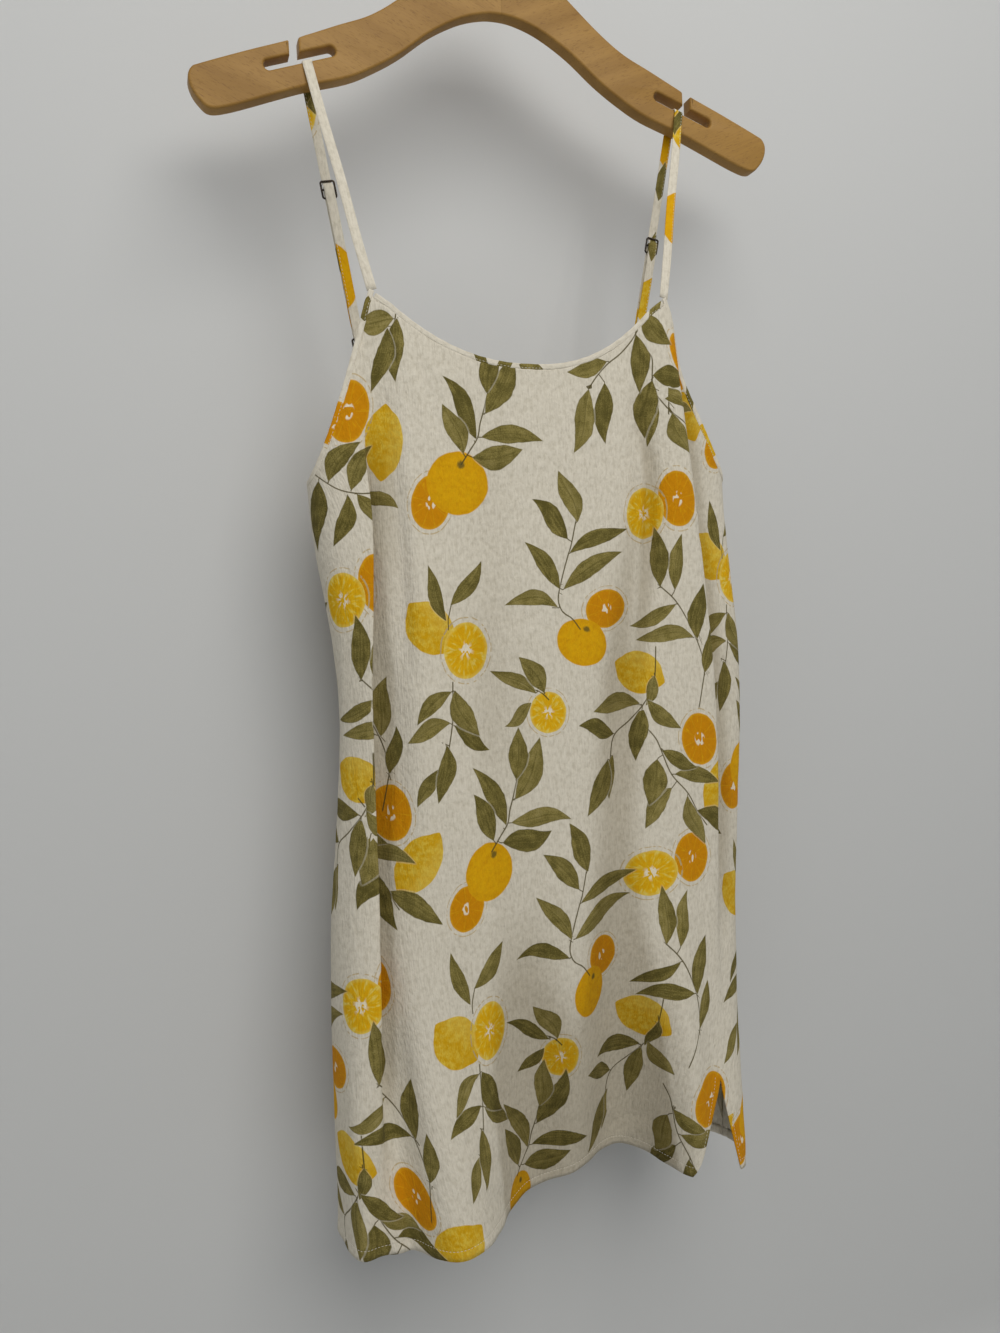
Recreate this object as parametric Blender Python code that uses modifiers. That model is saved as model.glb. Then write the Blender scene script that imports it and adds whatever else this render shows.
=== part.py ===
# A strappy mini dress hanging by its adjustable straps in the notches of a wooden hanger.
# Metres, +Z up. The viewer looks along +Y, and the wall is behind. The origin is the
# bearing point inside the top of the hanger's hook, and all else hangs below it.

import math

import bmesh
import bpy
import numpy as np
from mathutils import Matrix, Vector

MM = 0.001
GAP = 0.3 * MM  # what parts two pieces at a seam

# Cloth
CLOTH = 1.3 * MM  # wall of the two panels
BINDING = 2.0 * MM  # the folded strip on the edges
BINDING_WIDTH = 4.5 * MM
STRAP_WIDTH = 7.0 * MM
STRAP = 1.0 * MM  # the strap's own thickness

# The levels that every table row below gives a value for, and all rows are in millimetres
LEVELS = ("top", "bust", "waist", "hip", "hem")
LEVEL_Z = np.array([-340, -480, -610, -800, -1000]) * MM

# The plan of the hanging dress: half widths, depths before and behind its side line,
# and how far the side line itself stands back from the hanger's plane at each side
PLAN = {
    "left": (157, 157, 144, 160, 166),
    "right": (170, 171, 180, 167, 154),
    "front": (35, 36, 37, 39, 35),
    "back": (22, 26, 28, 34, 50),
    "side_left": (0, 0, 0, -2, -8),
    "side_right": (-6, 0, 0, -4, -14),
}
FLATNESS = 0.7  # below 1 the panels are flatter than an ellipse
SEAM_ANGLE = 98.0  # degrees from the front's centre line round to the side seam
SEAM_HALF_GAP = 0.6  # degrees

# Soft folds: their place from the centre line, how far they stand forward, half width
FRONT_FOLDS = {
    "left_lobe": ((-145, -144, -135, -148, -162), (0, 1, 3, 7, 20), (12, 12, 13, 14, 19)),
    "left_valley": ((-112, -112, -114, -123, -121), (0, -3, -5, -6, -11), (9, 9, 10, 10, 9)),
    "left_ridge": ((-98, -96, -93, -106, -94), (0, 4, 6, 8, 34), (12, 14, 16, 19, 39)),
    "middle": ((-30, -32, -34, -30, -21), (0, -1, -2, -3, -28), (20, 22, 26, 26, 33)),
    "right_trough": ((90, 86, 65, 50, 58), (0, -5, -7, -9, -50), (12, 14, 17, 21, 44)),
    "right_ridge": ((106, 108, 104, 100, 97), (3, 3, 3, 3, 28), (14, 14, 16, 18, 15)),
    "slit_flare": ((140, 145, 152, 150, 135), (0, 0, 0, 0, 20), (14, 14, 14, 14, 30)),
}
BACK_FOLDS = {
    "left_flute": ((-118, -116, -108, -112, -120), (0, 2, 5, 8, 12), (14, 15, 17, 19, 20)),
    "left_hollow": ((-78, -78, -72, -74, -80), (0, -2, -4, -6, -9), (14, 15, 17, 18, 20)),
    "centre_flute": ((-20, -22, -24, -20, -14), (0, 2, 4, 7, 10), (22, 24, 26, 26, 26)),
    "right_hollow": ((42, 44, 46, 44, 40), (0, -2, -4, -5, -8), (16, 17, 18, 20, 20)),
    "right_flute": ((98, 98, 104, 100, 92), (0, 2, 4, 7, 10), (14, 15, 17, 19, 20)),
}
# Lapped folds, whose left layer hides their right: place, lap and step. A lap below 0 is
# a fold that hasn't begun
LAPS = {
    "left_lap": ((-121, -122, -128, -135, -138), (-16, 8, 9, 9, -1), (0, 3, 4, 4, 1)),
    "right_lap": ((114, 127, 139, 139, 120), (1, 8, 8, 3, -1), (1, 4, 4, 2, 0)),
}
LAP_HALF_WIDTH = 8 * MM

# Edges of the front: two points under the straps, a scooped neck, deep armholes
APEX_MIDDLE = {-1: -111.5 * MM, 1: 105.5 * MM}
APEX_Z = {-1: -338.5 * MM, 1: -334.5 * MM}
NECK_Z = -386 * MM
NECK_CURVE = 2.3
ARMPIT_Z = -464 * MM
ARMHOLE_CURVE = 2.8
# Edges of the back, cut lower
BACK_APEX_MIDDLE = 111 * MM
BACK_APEX_Z = -378 * MM
BACK_NECK_Z = -440 * MM
BACK_NECK_CURVE = 2.4
BACK_ARMHOLE_CURVE = 2.2
TIP_DROP = 9 * MM  # how far below the strap a panel's tip lies
NECK_START = 15 * MM  # from there along the neck to the first station on the panel
NECK_END_DROP = 7 * MM  # how far below the strap a neck binding's inner edge starts

# The hem and the slit in it, towards the right
HEM_Z = -1000 * MM
HEM_LIFT = 14 * MM  # the front's hem swings up over the trough
HEM_LIFT_MIDDLE = 30 * MM
HEM_LIFT_HALF_WIDTH = 55 * MM
SLIT_TOP_Z = -932 * MM
SLIT_OPEN_LEFT = 20 * MM
SLIT_OPEN_RIGHT = 19 * MM

# The mesh: columns of the front from seam to seam, and the lines that they follow
ROWS = 33
ARMHOLE_COLUMNS = 13
NECK_COLUMNS = 17
LAP_SPREAD = 15 * MM
SIDE_ANGLE = 78.0
FRONT_ANCHORS = (0, 3, 6, 15, 32, 39, 43, 47)
SLIT_COLUMN = 35  # the slit opens between this column and the next
BACK_ROWS = 22
BACK_ARMHOLE_COLUMNS = 6
BACK_NECK_COLUMNS = 11

# Hanger: a plank cut to a contour, in two halves glued at the middle
WOOD_HALF_DEPTH = 6 * MM
WOOD_ROUNDING = 1.5 * MM
ARM_TOP = ((0, -79), (12, -80), (25, -86), (45, -102), (75, -127), (97, -142), (120, -152),
           (150, -165), (183, -177.5), (213, -189.5))
ARM_END = ((219.5, -193), (222, -199), (220.5, -206.5), (216, -213.5))
ARM_LOW = ((209, -218.5), (195, -215.5), (165, -204), (145, -196.5), (115, -187), (95, -177),
           (76, -165), (54, -148), (32, -135.5), (14, -129.5), (0, -128))
NOTCH_X = 143 * MM  # where a strap rests
NOTCH_Z = -180 * MM
SLOT_SLOPE = math.radians(19)
SLOT_HEIGHT = 6.8 * MM
SLOT_INNER_X = 122 * MM
SLOT_OUTER_X = 171 * MM
LIP_INNER_X = 148 * MM
LIP_OUTER_X = 154.5 * MM
GLUE_LINE_X = 0.5 * MM

# Hook: hidden by the photograph's edge, so a plain one
HOOK_WIRE = 1.9 * MM
HOOK_INNER_RADIUS = 17 * MM
HOOK_BEND_Z = -52 * MM

# Metal on the straps: bent wire, a slider with a bar across it and a plain loop
WIRE = 0.7 * MM
BAR_SPACING = 5.6 * MM
METAL_HALF_WIDTH = 4.9 * MM
LOOP_HALF_HEIGHT = 3.2 * MM
LOOP_PLACE = (112 * MM, 22 * MM, -361 * MM)
SLIDER_DROP = {-1: 77 * MM, 1: 97 * MM}  # below the notch, along the strap
FLAP = 14 * MM  # the sewn end below the slider
LIFT = GAP + STRAP / 2  # of a strap's middle above the wood


def clear_scene():
    for obj in list(bpy.data.objects):
        bpy.data.objects.remove(obj, do_unlink=True)


def material(name, colour, roughness, metallic=0.0):
    made = bpy.data.materials.new(name)
    made.use_nodes = True
    shader = made.node_tree.nodes["Principled BSDF"]
    shader.inputs["Base Color"].default_value = (*colour, 1.0)
    shader.inputs["Roughness"].default_value = roughness
    shader.inputs["Metallic"].default_value = metallic
    return made


def add(name, mesh_or_curve, finish, smooth=True):
    obj = bpy.data.objects.new(name, mesh_or_curve)
    PARTS.objects.link(obj)
    obj.data.materials.append(finish)
    if smooth and isinstance(mesh_or_curve, bpy.types.Mesh):
        mesh_or_curve.shade_smooth()
        mesh_or_curve.set_sharp_from_angle(angle=math.radians(40))
    return obj


def at_level(row, z):
    """The value of a table row at height z, on a smooth curve through its levels."""
    down = -LEVEL_Z
    values = np.array(row, float) * MM
    slopes = np.gradient(values, down)
    depth = np.clip(-np.asarray(z, float), down[0], down[-1])
    i = np.clip(np.searchsorted(down, depth) - 1, 0, len(down) - 2)
    step = down[i + 1] - down[i]
    t = (depth - down[i]) / step
    start = values[i] * (1 + 2 * t) * (1 - t) ** 2 + slopes[i] * step * t * (1 - t) ** 2
    end = values[i + 1] * (3 - 2 * t) * t**2 - slopes[i + 1] * step * t**2 * (1 - t)
    return start + end


def smoothstep(t):
    t = np.clip(t, 0.0, 1.0)
    return t * t * (3 - 2 * t)


def dress_point(angle, z):
    """The dress's wall, halfway through it: the angle in degrees runs from the front's
    centre line, positive to the right, round to 180 at the centre of the back."""
    turn = np.radians(angle)
    across, ahead = np.sin(turn), np.cos(turn)
    half = np.where(across < 0, at_level(PLAN["left"], z), at_level(PLAN["right"], z))
    x = half * across
    side = at_level(PLAN["side_left"], z) * (1 - across) / 2
    side = side + at_level(PLAN["side_right"], z) * (1 + across) / 2
    depth = np.where(ahead > 0, at_level(PLAN["front"], z), -at_level(PLAN["back"], z))
    y = side - depth * np.abs(ahead) ** FLATNESS
    faces = smoothstep(np.abs(ahead) / 0.35)
    flat_x = x
    for folds, sign in ((FRONT_FOLDS, 1), (BACK_FOLDS, -1)):
        on_panel = faces * (ahead * sign > 0)
        for place, forward, width in folds.values():
            t = (flat_x - at_level(place, z)) / at_level(width, z)
            y = y - sign * at_level(forward, z) * np.exp(-t * t) * on_panel
    for place, lap, step in LAPS.values():
        t = (flat_x - at_level(place, z)) / LAP_HALF_WIDTH
        on_panel = faces * (ahead > 0)
        x = x - np.maximum(at_level(lap, z), 0) * t * np.exp((1 - t * t) / 2) * on_panel
        y = y + at_level(step, z) * t / 2 * np.exp((1 - t * t / 4) / 2) * on_panel
    return np.stack([x, y, np.broadcast_to(z, np.shape(x))], axis=-1)


def angle_at(x, z):
    """The front's angle whose unfolded place is x."""
    half = np.where(np.asarray(x) < 0, at_level(PLAN["left"], z), at_level(PLAN["right"], z))
    return np.degrees(np.arcsin(np.clip(x / half, -1, 1)))


def hem_z(angle):
    x = dress_point(angle, HEM_Z)[..., 0]
    lift = HEM_LIFT * np.exp(-(((x - HEM_LIFT_MIDDLE) / HEM_LIFT_HALF_WIDTH) ** 2))
    return HEM_Z + lift * (np.abs(angle) < 90)


def evenly(angles, heights, count, first=0.0, last=0.0):
    """count + 1 stations, evenly spaced on an edge that is given closely, leaving out a
    first and a last length of it."""
    points = dress_point(angles, heights)
    steps = np.linalg.norm(np.diff(points, axis=0), axis=1)
    run = np.concatenate([[0], np.cumsum(steps)])
    wanted = np.linspace(first, run[-1] - last, count + 1)
    return np.interp(wanted, run, angles), np.interp(wanted, run, heights)


def front_edges():
    """The armholes and the neck of the front as dense (angles, heights), left to right."""
    apex, corner = {}, {}
    for side in (-1, 1):
        apex[side] = angle_at(APEX_MIDDLE[side] + side * STRAP_WIDTH / 2, APEX_Z[side])
        corner[side] = angle_at(APEX_MIDDLE[side] - side * STRAP_WIDTH / 2, APEX_Z[side])
    edges = {}
    fine = np.linspace(0, 1, 400)
    for side in (-1, 1):
        edges[side] = armhole_curve(side, apex[side], SEAM_ANGLE, APEX_Z[side], ARMHOLE_CURVE)
    angles = corner[-1] + (corner[1] - corner[-1]) * fine
    share = np.where(angles < 0, angles / corner[-1], angles / corner[1])
    x_share = np.sin(np.radians(np.abs(angles))) / np.sin(
        np.radians(np.where(angles < 0, abs(corner[-1]), corner[1])))
    top = np.where(angles < 0, APEX_Z[-1], APEX_Z[1])
    heights = NECK_Z + (top - NECK_Z) * np.where(share > 0, x_share, 0) ** NECK_CURVE
    return edges, (angles, heights)


def armhole_curve(side, start, end_angle, start_z, curve):
    """From an apex down to the side seam."""
    down = np.linspace(0, 1, 400)
    angles = start + (side * end_angle - start) * down
    return angles, ARMPIT_Z + (start_z - ARMPIT_Z) * (1 - down) ** curve


def back_angle(x):
    """The angle, towards its own side, of a place on the back at its points' height."""
    side = 1 if x > 0 else -1
    return side * (180 - abs(float(angle_at(x, BACK_APEX_Z))))


def back_edges():
    edges, corner = {}, {}
    for side in (-1, 1):
        outer = back_angle(side * (BACK_APEX_MIDDLE + STRAP_WIDTH / 2))
        corner[side] = back_angle(side * (BACK_APEX_MIDDLE - STRAP_WIDTH / 2))
        edges[side] = armhole_curve(side, outer, SEAM_ANGLE, BACK_APEX_Z, BACK_ARMHOLE_CURVE)
    angles = np.linspace(corner[1], 360 + corner[-1], 400)
    x_share = np.abs(np.sin(np.radians(angles)))
    x_share = x_share / np.where(angles < 180, x_share[0], x_share[-1])
    heights = BACK_NECK_Z + (BACK_APEX_Z - BACK_NECK_Z) * x_share**BACK_NECK_CURVE
    return edges, (angles, heights)


def inward(angles, heights, width):
    """Stations moved into the cloth by a width, square to their edge. The edge runs with
    the cloth on its right hand, as seen from outside."""
    small = 0.05
    point = dress_point(angles, heights)
    along_angle = (dress_point(angles + small, heights) - point) / small
    along_z = (dress_point(angles, heights - small * MM) - point) / (small * MM)
    edge = np.gradient(point, axis=0)
    edge = edge / np.linalg.norm(edge, axis=1, keepdims=True)
    normal = np.cross(along_z, along_angle)
    normal = normal / np.linalg.norm(normal, axis=1, keepdims=True)
    into = np.cross(edge, normal)
    stretch = np.linalg.norm(along_angle, axis=1)
    sideways = np.einsum("ij,ij->i", into, along_angle) / stretch
    downward = np.einsum("ij,ij->i", into, along_z) / np.linalg.norm(along_z, axis=1)
    return angles + width * sideways / stretch, heights - width * downward


def sheet(name, columns, rows, place, thickness, finish, drop_face=None):
    """A wall of cloth: a grid whose point (column, row) goes where place says."""
    grid = bmesh.new()
    bmesh.ops.create_grid(grid, x_segments=columns, y_segments=rows, size=1.0)
    for vertex in grid.verts:
        column = round((vertex.co.x + 1) / 2 * columns)
        row = round((1 - vertex.co.y) / 2 * rows)
        vertex.co = place[row, column]
    if drop_face is not None:
        bmesh.ops.delete(grid, geom=[f for f in grid.faces if drop_face(f)], context="FACES")
    mesh = bpy.data.meshes.new(name)
    grid.to_mesh(mesh)
    grid.free()
    obj = add(name, mesh, finish)
    wall = obj.modifiers.new("wall", "SOLIDIFY")
    wall.thickness = thickness
    wall.offset = 0.0
    return obj


def front_lines(z):
    """The angles that the front's anchored columns pass through at height z."""
    left = at_level(LAPS["left_lap"][0], z)
    right = at_level(LAPS["right_lap"][0], z)
    return (-SEAM_ANGLE + SEAM_HALF_GAP, -SIDE_ANGLE, angle_at(left - LAP_SPREAD, z),
            angle_at(left + LAP_SPREAD, z), angle_at(right - LAP_SPREAD, z),
            angle_at(right + LAP_SPREAD * 0.75, z), SIDE_ANGLE + 4, SEAM_ANGLE - SEAM_HALF_GAP)


def open_slit(angles, z):
    """The slit's two columns part below its top, and their neighbours make way."""
    share = np.clip((SLIT_TOP_Z - z) / (SLIT_TOP_Z - HEM_Z), 0, 1) ** 1.2
    half = at_level(PLAN["right"], z)
    middle = (angles[SLIT_COLUMN] + angles[SLIT_COLUMN + 1]) / 2
    for step, side, reach in ((0, -1, SLIT_OPEN_LEFT), (1, 1, SLIT_OPEN_RIGHT)):
        moved = math.degrees(share * reach / (half * math.cos(math.radians(middle))))
        edge = SLIT_COLUMN + step
        for fade in range(7):
            column = edge + side * fade
            if 0 < column < len(angles) - 1:
                angles[column] += side * moved * (1 - fade / 7)
    return angles


def front_columns():
    """Stations of the front's top edge, on the garment's edge: (angles, heights)."""
    edges, neck = front_edges()
    left_angle, left_z = evenly(edges[-1][0][::-1], edges[-1][1][::-1], ARMHOLE_COLUMNS,
                                last=TIP_DROP)
    neck_angle, neck_z = evenly(*neck, NECK_COLUMNS, first=NECK_START, last=NECK_START)
    right_angle, right_z = evenly(*edges[1], ARMHOLE_COLUMNS, first=TIP_DROP)
    left_angle[0] += SEAM_HALF_GAP
    right_angle[-1] -= SEAM_HALF_GAP
    return (left_angle, left_z), (neck_angle, neck_z), (right_angle, right_z)


def blended(top_angle, top_z, low_lines, hem, rows, anchors):
    """Angles and heights of a panel's grid. Each column leaves its place on the top edge
    for its line further down."""
    count = len(top_angle)
    share = (np.arange(rows + 1) / rows)[:, None] ** 1.05
    heights = top_z[None, :] + (hem[None, :] - top_z[None, :]) * share
    angles = np.empty_like(heights)
    for row in range(rows + 1):
        for column in range(count):
            z = heights[row, column]
            lines = low_lines(min(z, -0.455))
            low = np.interp(np.arange(count), anchors, lines)
            if low_lines is front_lines:
                low = open_slit(low, z)
            mix = smoothstep((top_z[column] - z) / (top_z[column] + 0.53))
            angles[row, column] = top_angle[column] * (1 - mix) + low[column] * mix
    return angles, heights


def beside_armhole(corner, station, top, drop, clear):
    """A station a little below a panel's tip, clear of the armhole binding's inner edge,
    which runs from the corner under the strap to the binding's first station."""
    z = top - drop
    share = (top - z) / (top - station[1])
    toward_neck = math.copysign(1, corner - station[0])
    return corner + (station[0] - corner) * share + toward_neck * math.degrees(clear / 0.12), z


def front_tips(drop, clear):
    left, _, right = front_columns()
    ends = []
    for side, part, at in ((-1, left, -1), (1, right, 0)):
        inset = inward(*part, BINDING_WIDTH)
        top = APEX_Z[side]
        corner = float(angle_at(APEX_MIDDLE[side] + side * (GAP - STRAP_WIDTH / 2), top))
        ends.append(beside_armhole(corner, (inset[0][at], inset[1][at]), top, drop, clear))
    return ends


def back_tips(drop, clear):
    right, _, left = back_columns()
    ends = []
    for side, part, at in ((1, right, -1), (-1, left, 0)):
        inset = inward(*part, BINDING_WIDTH)
        corner = back_angle(side * (BACK_APEX_MIDDLE + GAP - STRAP_WIDTH / 2)) % 360
        ends.append(beside_armhole(corner, (inset[0][at], inset[1][at]), BACK_APEX_Z, drop,
                                   clear))
    return ends


def as_stations(point):
    return np.array([point[0]]), np.array([point[1]])


def front_panel(finish):
    left, neck, right = front_columns()
    width = BINDING_WIDTH + 2 * GAP
    tips = [as_stations(tip) for tip in front_tips(NECK_END_DROP + 3 * GAP, 3 * GAP)]
    parts = [inward(*left, width), tips[0], inward(*neck, width), tips[1],
             inward(*right, width)]
    top_angle = np.concatenate([part[0] for part in parts])
    top_z = np.concatenate([part[1] for part in parts])
    top_angle[0] = -SEAM_ANGLE + SEAM_HALF_GAP
    top_angle[-1] = SEAM_ANGLE - SEAM_HALF_GAP
    count = len(top_angle)
    low = open_slit(np.interp(np.arange(count), FRONT_ANCHORS, front_lines(HEM_Z)), HEM_Z)
    angles, heights = blended(top_angle, top_z, front_lines, hem_z(low), ROWS, FRONT_ANCHORS)
    place = dress_point(angles, heights)
    slit = {tuple(np.float32(place[row, SLIT_COLUMN])) for row in range(ROWS + 1)
            if heights[row, SLIT_COLUMN] < SLIT_TOP_Z}
    slit_right = {tuple(np.float32(place[row, SLIT_COLUMN + 1])) for row in range(ROWS + 1)
                  if heights[row, SLIT_COLUMN + 1] < SLIT_TOP_Z}

    def in_slit(face):
        corners = {tuple(np.float32(v.co)) for v in face.verts}
        return bool(corners & slit) and bool(corners & slit_right)

    return sheet("front", count - 1, ROWS, place, CLOTH, finish, in_slit)


def back_lines(z):
    return (SEAM_ANGLE + SEAM_HALF_GAP, 114, 246, 360 - SEAM_ANGLE - SEAM_HALF_GAP)


def back_columns():
    edges, neck = back_edges()
    right_angle, right_z = evenly(edges[1][0][::-1], edges[1][1][::-1], BACK_ARMHOLE_COLUMNS,
                                  last=TIP_DROP)
    neck_angle, neck_z = evenly(*neck, BACK_NECK_COLUMNS, first=NECK_START, last=NECK_START)
    left_angle, left_z = evenly(edges[-1][0] + 360, edges[-1][1], BACK_ARMHOLE_COLUMNS,
                                first=TIP_DROP)
    right_angle[0] += SEAM_HALF_GAP
    left_angle[-1] -= SEAM_HALF_GAP
    return (right_angle, right_z), (neck_angle, neck_z), (left_angle, left_z)


def back_panel(finish):
    parts = [inward(*part, BINDING_WIDTH + 2 * GAP) for part in back_columns()]
    tips = [as_stations(tip) for tip in back_tips(NECK_END_DROP + 3 * GAP, 3 * GAP)]
    parts = [parts[0], tips[0], parts[1], tips[1], parts[2]]
    top_angle = np.concatenate([part[0] for part in parts])
    top_z = np.concatenate([part[1] for part in parts])
    top_angle[0] = SEAM_ANGLE + SEAM_HALF_GAP
    top_angle[-1] = 360 - SEAM_ANGLE - SEAM_HALF_GAP
    count = len(top_angle)
    anchors = (0, BACK_ARMHOLE_COLUMNS // 2, count - 1 - BACK_ARMHOLE_COLUMNS // 2, count - 1)
    hem = np.full(count, HEM_Z)
    angles, heights = blended(top_angle, top_z, back_lines, hem, BACK_ROWS, anchors)
    return sheet("back", count - 1, BACK_ROWS, dress_point(angles, heights), CLOTH, finish)


def strip(name, outer, inner, finish):
    """A binding between its outer and its inner stations."""
    rails = [dress_point(*outer), dress_point(*inner)]
    middle = (rails[0] + rails[1]) / 2
    place = np.stack([rails[0], middle, rails[1]])
    return sheet(name, len(rails[0]) - 1, 2, place, BINDING, finish)


def with_ends(stations, before, after):
    """Stations with one more at each end that has one."""
    angle, z = stations
    for end, at in ((before, 0), (after, len(angle))):
        if end is not None:
            at = at if at == 0 else len(angle)
            angle = np.insert(angle, at, end[0])
            z = np.insert(z, at, end[1])
    return angle, z


def bindings(finish):
    """The strips on the neck, on the back's neck, and round each armhole."""
    left, neck, right = front_columns()
    back_right, back_neck, back_left = back_columns()
    narrow = {}
    for name, part in (("left", left), ("neck", neck), ("right", right),
                       ("back_right", back_right), ("back_neck", back_neck),
                       ("back_left", back_left)):
        narrow[name] = inward(*part, BINDING_WIDTH)
    for name, key, part, edge, tops, tips in (
            ("neck_binding", "neck", neck, front_edges()[1], (APEX_Z[-1], APEX_Z[1]),
             front_tips(NECK_END_DROP, 1.5 * GAP)),
            ("back_neck_binding", "back_neck", back_neck, back_edges()[1],
             (BACK_APEX_Z, BACK_APEX_Z), back_tips(NECK_END_DROP, 1.5 * GAP))):
        outer = with_ends(part, *[(edge[0][at] + step * 0.105, top - GAP)
                                  for at, top, step in ((0, tops[0], 1), (-1, tops[1], -1))])
        strip(name, outer, with_ends(narrow[key], *tips), finish)
    stations = {"left": left, "right": right, "back_left": back_left, "back_right": back_right}
    for side, name, ahead, behind in ((-1, "armhole_binding_left", "left", "back_left"),
                                      (1, "armhole_binding_right", "right", "back_right")):
        rails = []
        for source, reach in ((stations, STRAP_WIDTH / 2), (narrow, GAP - STRAP_WIDTH / 2)):
            fore, aft = source[ahead], source[behind]
            top = angle_at(APEX_MIDDLE[side] + side * reach, APEX_Z[side])
            rear = back_angle(side * (BACK_APEX_MIDDLE + reach))
            if side < 0:  # from the back's point down to the seam, then up to the front's
                angle = np.concatenate([[rear], aft[0][:-1] - 360, fore[0][1:], [top]])
                z = np.concatenate([[BACK_APEX_Z], aft[1][:-1], fore[1][1:], [APEX_Z[side]]])
            else:
                angle = np.concatenate([[top], fore[0][:-1], aft[0][1:], [rear]])
                z = np.concatenate([[APEX_Z[side]], fore[1][:-1], aft[1][1:], [BACK_APEX_Z]])
            rails.append((angle, z))
        strip(name, rails[0], rails[1], finish)


def ribbon(name, side, path, across, finish):
    """A flat band along a path, given for the right side and turned over for the left."""
    half = np.asarray(across) * STRAP_WIDTH / 2
    place = np.stack([path - half, path + half]) * (side, 1, 1)
    return sheet(name, len(path) - 1, 1, place, STRAP, finish)


def arc(centre, radius, start, end, steps=7):
    """Points (down, back) on an arc, with its angles in degrees from the down direction."""
    turn = np.radians(np.linspace(start, end, steps))
    return np.stack([centre + radius * np.cos(turn), radius * np.sin(turn)], axis=1)


def run_axes(down):
    """(across, down, back) of a band that hangs in the direction down."""
    down = down / np.linalg.norm(down)
    across = np.array((1.0, 0.0, 0.0)) - down[0] * down
    across = across / np.linalg.norm(across)
    return across, down, np.cross(across, down)


def strap_frame(side):
    """The strap's rear run for the right-hand orientation: where it leaves the hanger, its
    axes, and how far down the slider's bar and the loop's top wire are."""
    start = np.array((NOTCH_X, WOOD_HALF_DEPTH + LIFT, NOTCH_Z - WOOD_ROUNDING))
    loop_top = np.array(LOOP_PLACE) + (0, 0, LOOP_HALF_HEIGHT)
    axes = run_axes(loop_top - start)
    return start, axes, SLIDER_DROP[side], np.linalg.norm(loop_top - start)


def strap(side, name, finish):
    """One band: sewn round the slider's bar, down and round the loop, up over the bar and
    behind the slider's top, over the hanger and down to the dress's front."""
    start, (across, down, back), bar, loop = strap_frame(side)
    wrap = WIRE + GAP + STRAP / 2
    outer = wrap + GAP + STRAP
    length = loop - bar
    cross = math.degrees(math.asin((wrap + outer) / BAR_SPACING))
    rise = np.linspace(0, 1, 6)[:, None]
    flat = np.concatenate([
        [(FLAP, -wrap)],
        [(FLAP * 0.5, -wrap)],
        arc(0, wrap, -90, -270, 9),
        [(length * 0.33, wrap), (length * 0.66, wrap)],
        arc(length, wrap, 90, -90, 9),
        np.hstack([length - 12 * MM - (length - FLAP - 14 * MM) * rise,
                   -wrap - (outer - wrap) * smoothstep(rise)]),
        [(FLAP * 0.5, -outer)],
        arc(0, outer, -90, -90 - cross),
        arc(-BAR_SPACING, wrap, 90 - cross, 90),
        [(-bar * 0.4, wrap), (-bar * 0.75, wrap)]])
    origin = start + down * bar - back * wrap
    path = origin + flat[:, :1] * down + flat[:, 1:] * back
    widths = np.repeat(across[None, :], len(path), axis=0)
    # over the notch's floor, whose edges are rounded
    slope = np.array((math.cos(SLOT_SLOPE), 0, -math.sin(SLOT_SLOPE)))
    over = []
    reach = WOOD_ROUNDING + LIFT
    for turn in np.radians(np.linspace(0, 90, 6)):
        over.append((NOTCH_X, WOOD_HALF_DEPTH - WOOD_ROUNDING + reach * math.cos(turn),
                     NOTCH_Z - WOOD_ROUNDING + reach * math.sin(turn)))
    over = over + [(NOTCH_X, 0, NOTCH_Z + LIFT)] + [(x, -y, z) for x, y, z in over[::-1]]
    apex = [angle_at(side * (abs(APEX_MIDDLE[side]) + reach), APEX_Z[side])
            for reach in (-STRAP_WIDTH / 2, STRAP_WIDTH / 2)]
    corners = dress_point(np.array(apex), APEX_Z[side] + 2 * GAP) * (side, 1, 1)
    end = corners.mean(axis=0)
    last = (corners[1] - corners[0]) / np.linalg.norm(corners[1] - corners[0])
    begin = np.array(over[-1])
    share = np.linspace(0, 1, 15)[1:]
    front = begin + (end - begin) * share[:, None]
    front_across, _, _ = run_axes(end - begin)
    front_widths = []
    for t in share:
        leave, arrive = smoothstep(t / 0.25), smoothstep((t - 0.8) / 0.2)
        width = slope * (1 - leave) + front_across * leave * (1 - arrive) + last * arrive
        front_widths.append(width / np.linalg.norm(width))
    path = np.concatenate([path, over, front])
    widths = np.concatenate([widths, [slope] * len(over), front_widths])
    widths[-len(over) - len(front) - 1] = (slope + across) / np.linalg.norm(slope + across)
    return ribbon(name, side, path, widths, finish)


def tab(side, name, finish):
    """The short band that holds the loop: both its ends are sewn to the back's point."""
    start, (across, down, back), _, loop = strap_frame(side)
    wrap = WIRE + GAP + STRAP / 2
    wire = start + down * (loop + 2 * LOOP_HALF_HEIGHT) - back * wrap
    ends = dress_point(np.array([back_angle(side * (BACK_APEX_MIDDLE + reach))
                                 for reach in (-STRAP_WIDTH / 2, STRAP_WIDTH / 2)]),
                       BACK_APEX_Z + 2 * GAP) * (side, 1, 1)
    foot = ends.mean(axis=0)
    _, down, back = run_axes(foot - wire)
    last = (ends[1] - ends[0]) / np.linalg.norm(ends[1] - ends[0])
    length = np.linalg.norm(foot - wire)
    apart = (STRAP + GAP) / 2
    flat = np.concatenate([[(length, -apart), (length * 0.75, -apart), (length * 0.4, -wrap)],
                           arc(0, wrap, -90, -270, 9),
                           [(length * 0.4, wrap), (length * 0.75, apart), (length, apart)]])
    path = wire + flat[:, :1] * down + flat[:, 1:] * back
    share = smoothstep(flat[:, :1] / length)
    widths = across * (1 - share) + last * share
    return ribbon(name, side, path, widths, finish)


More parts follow.
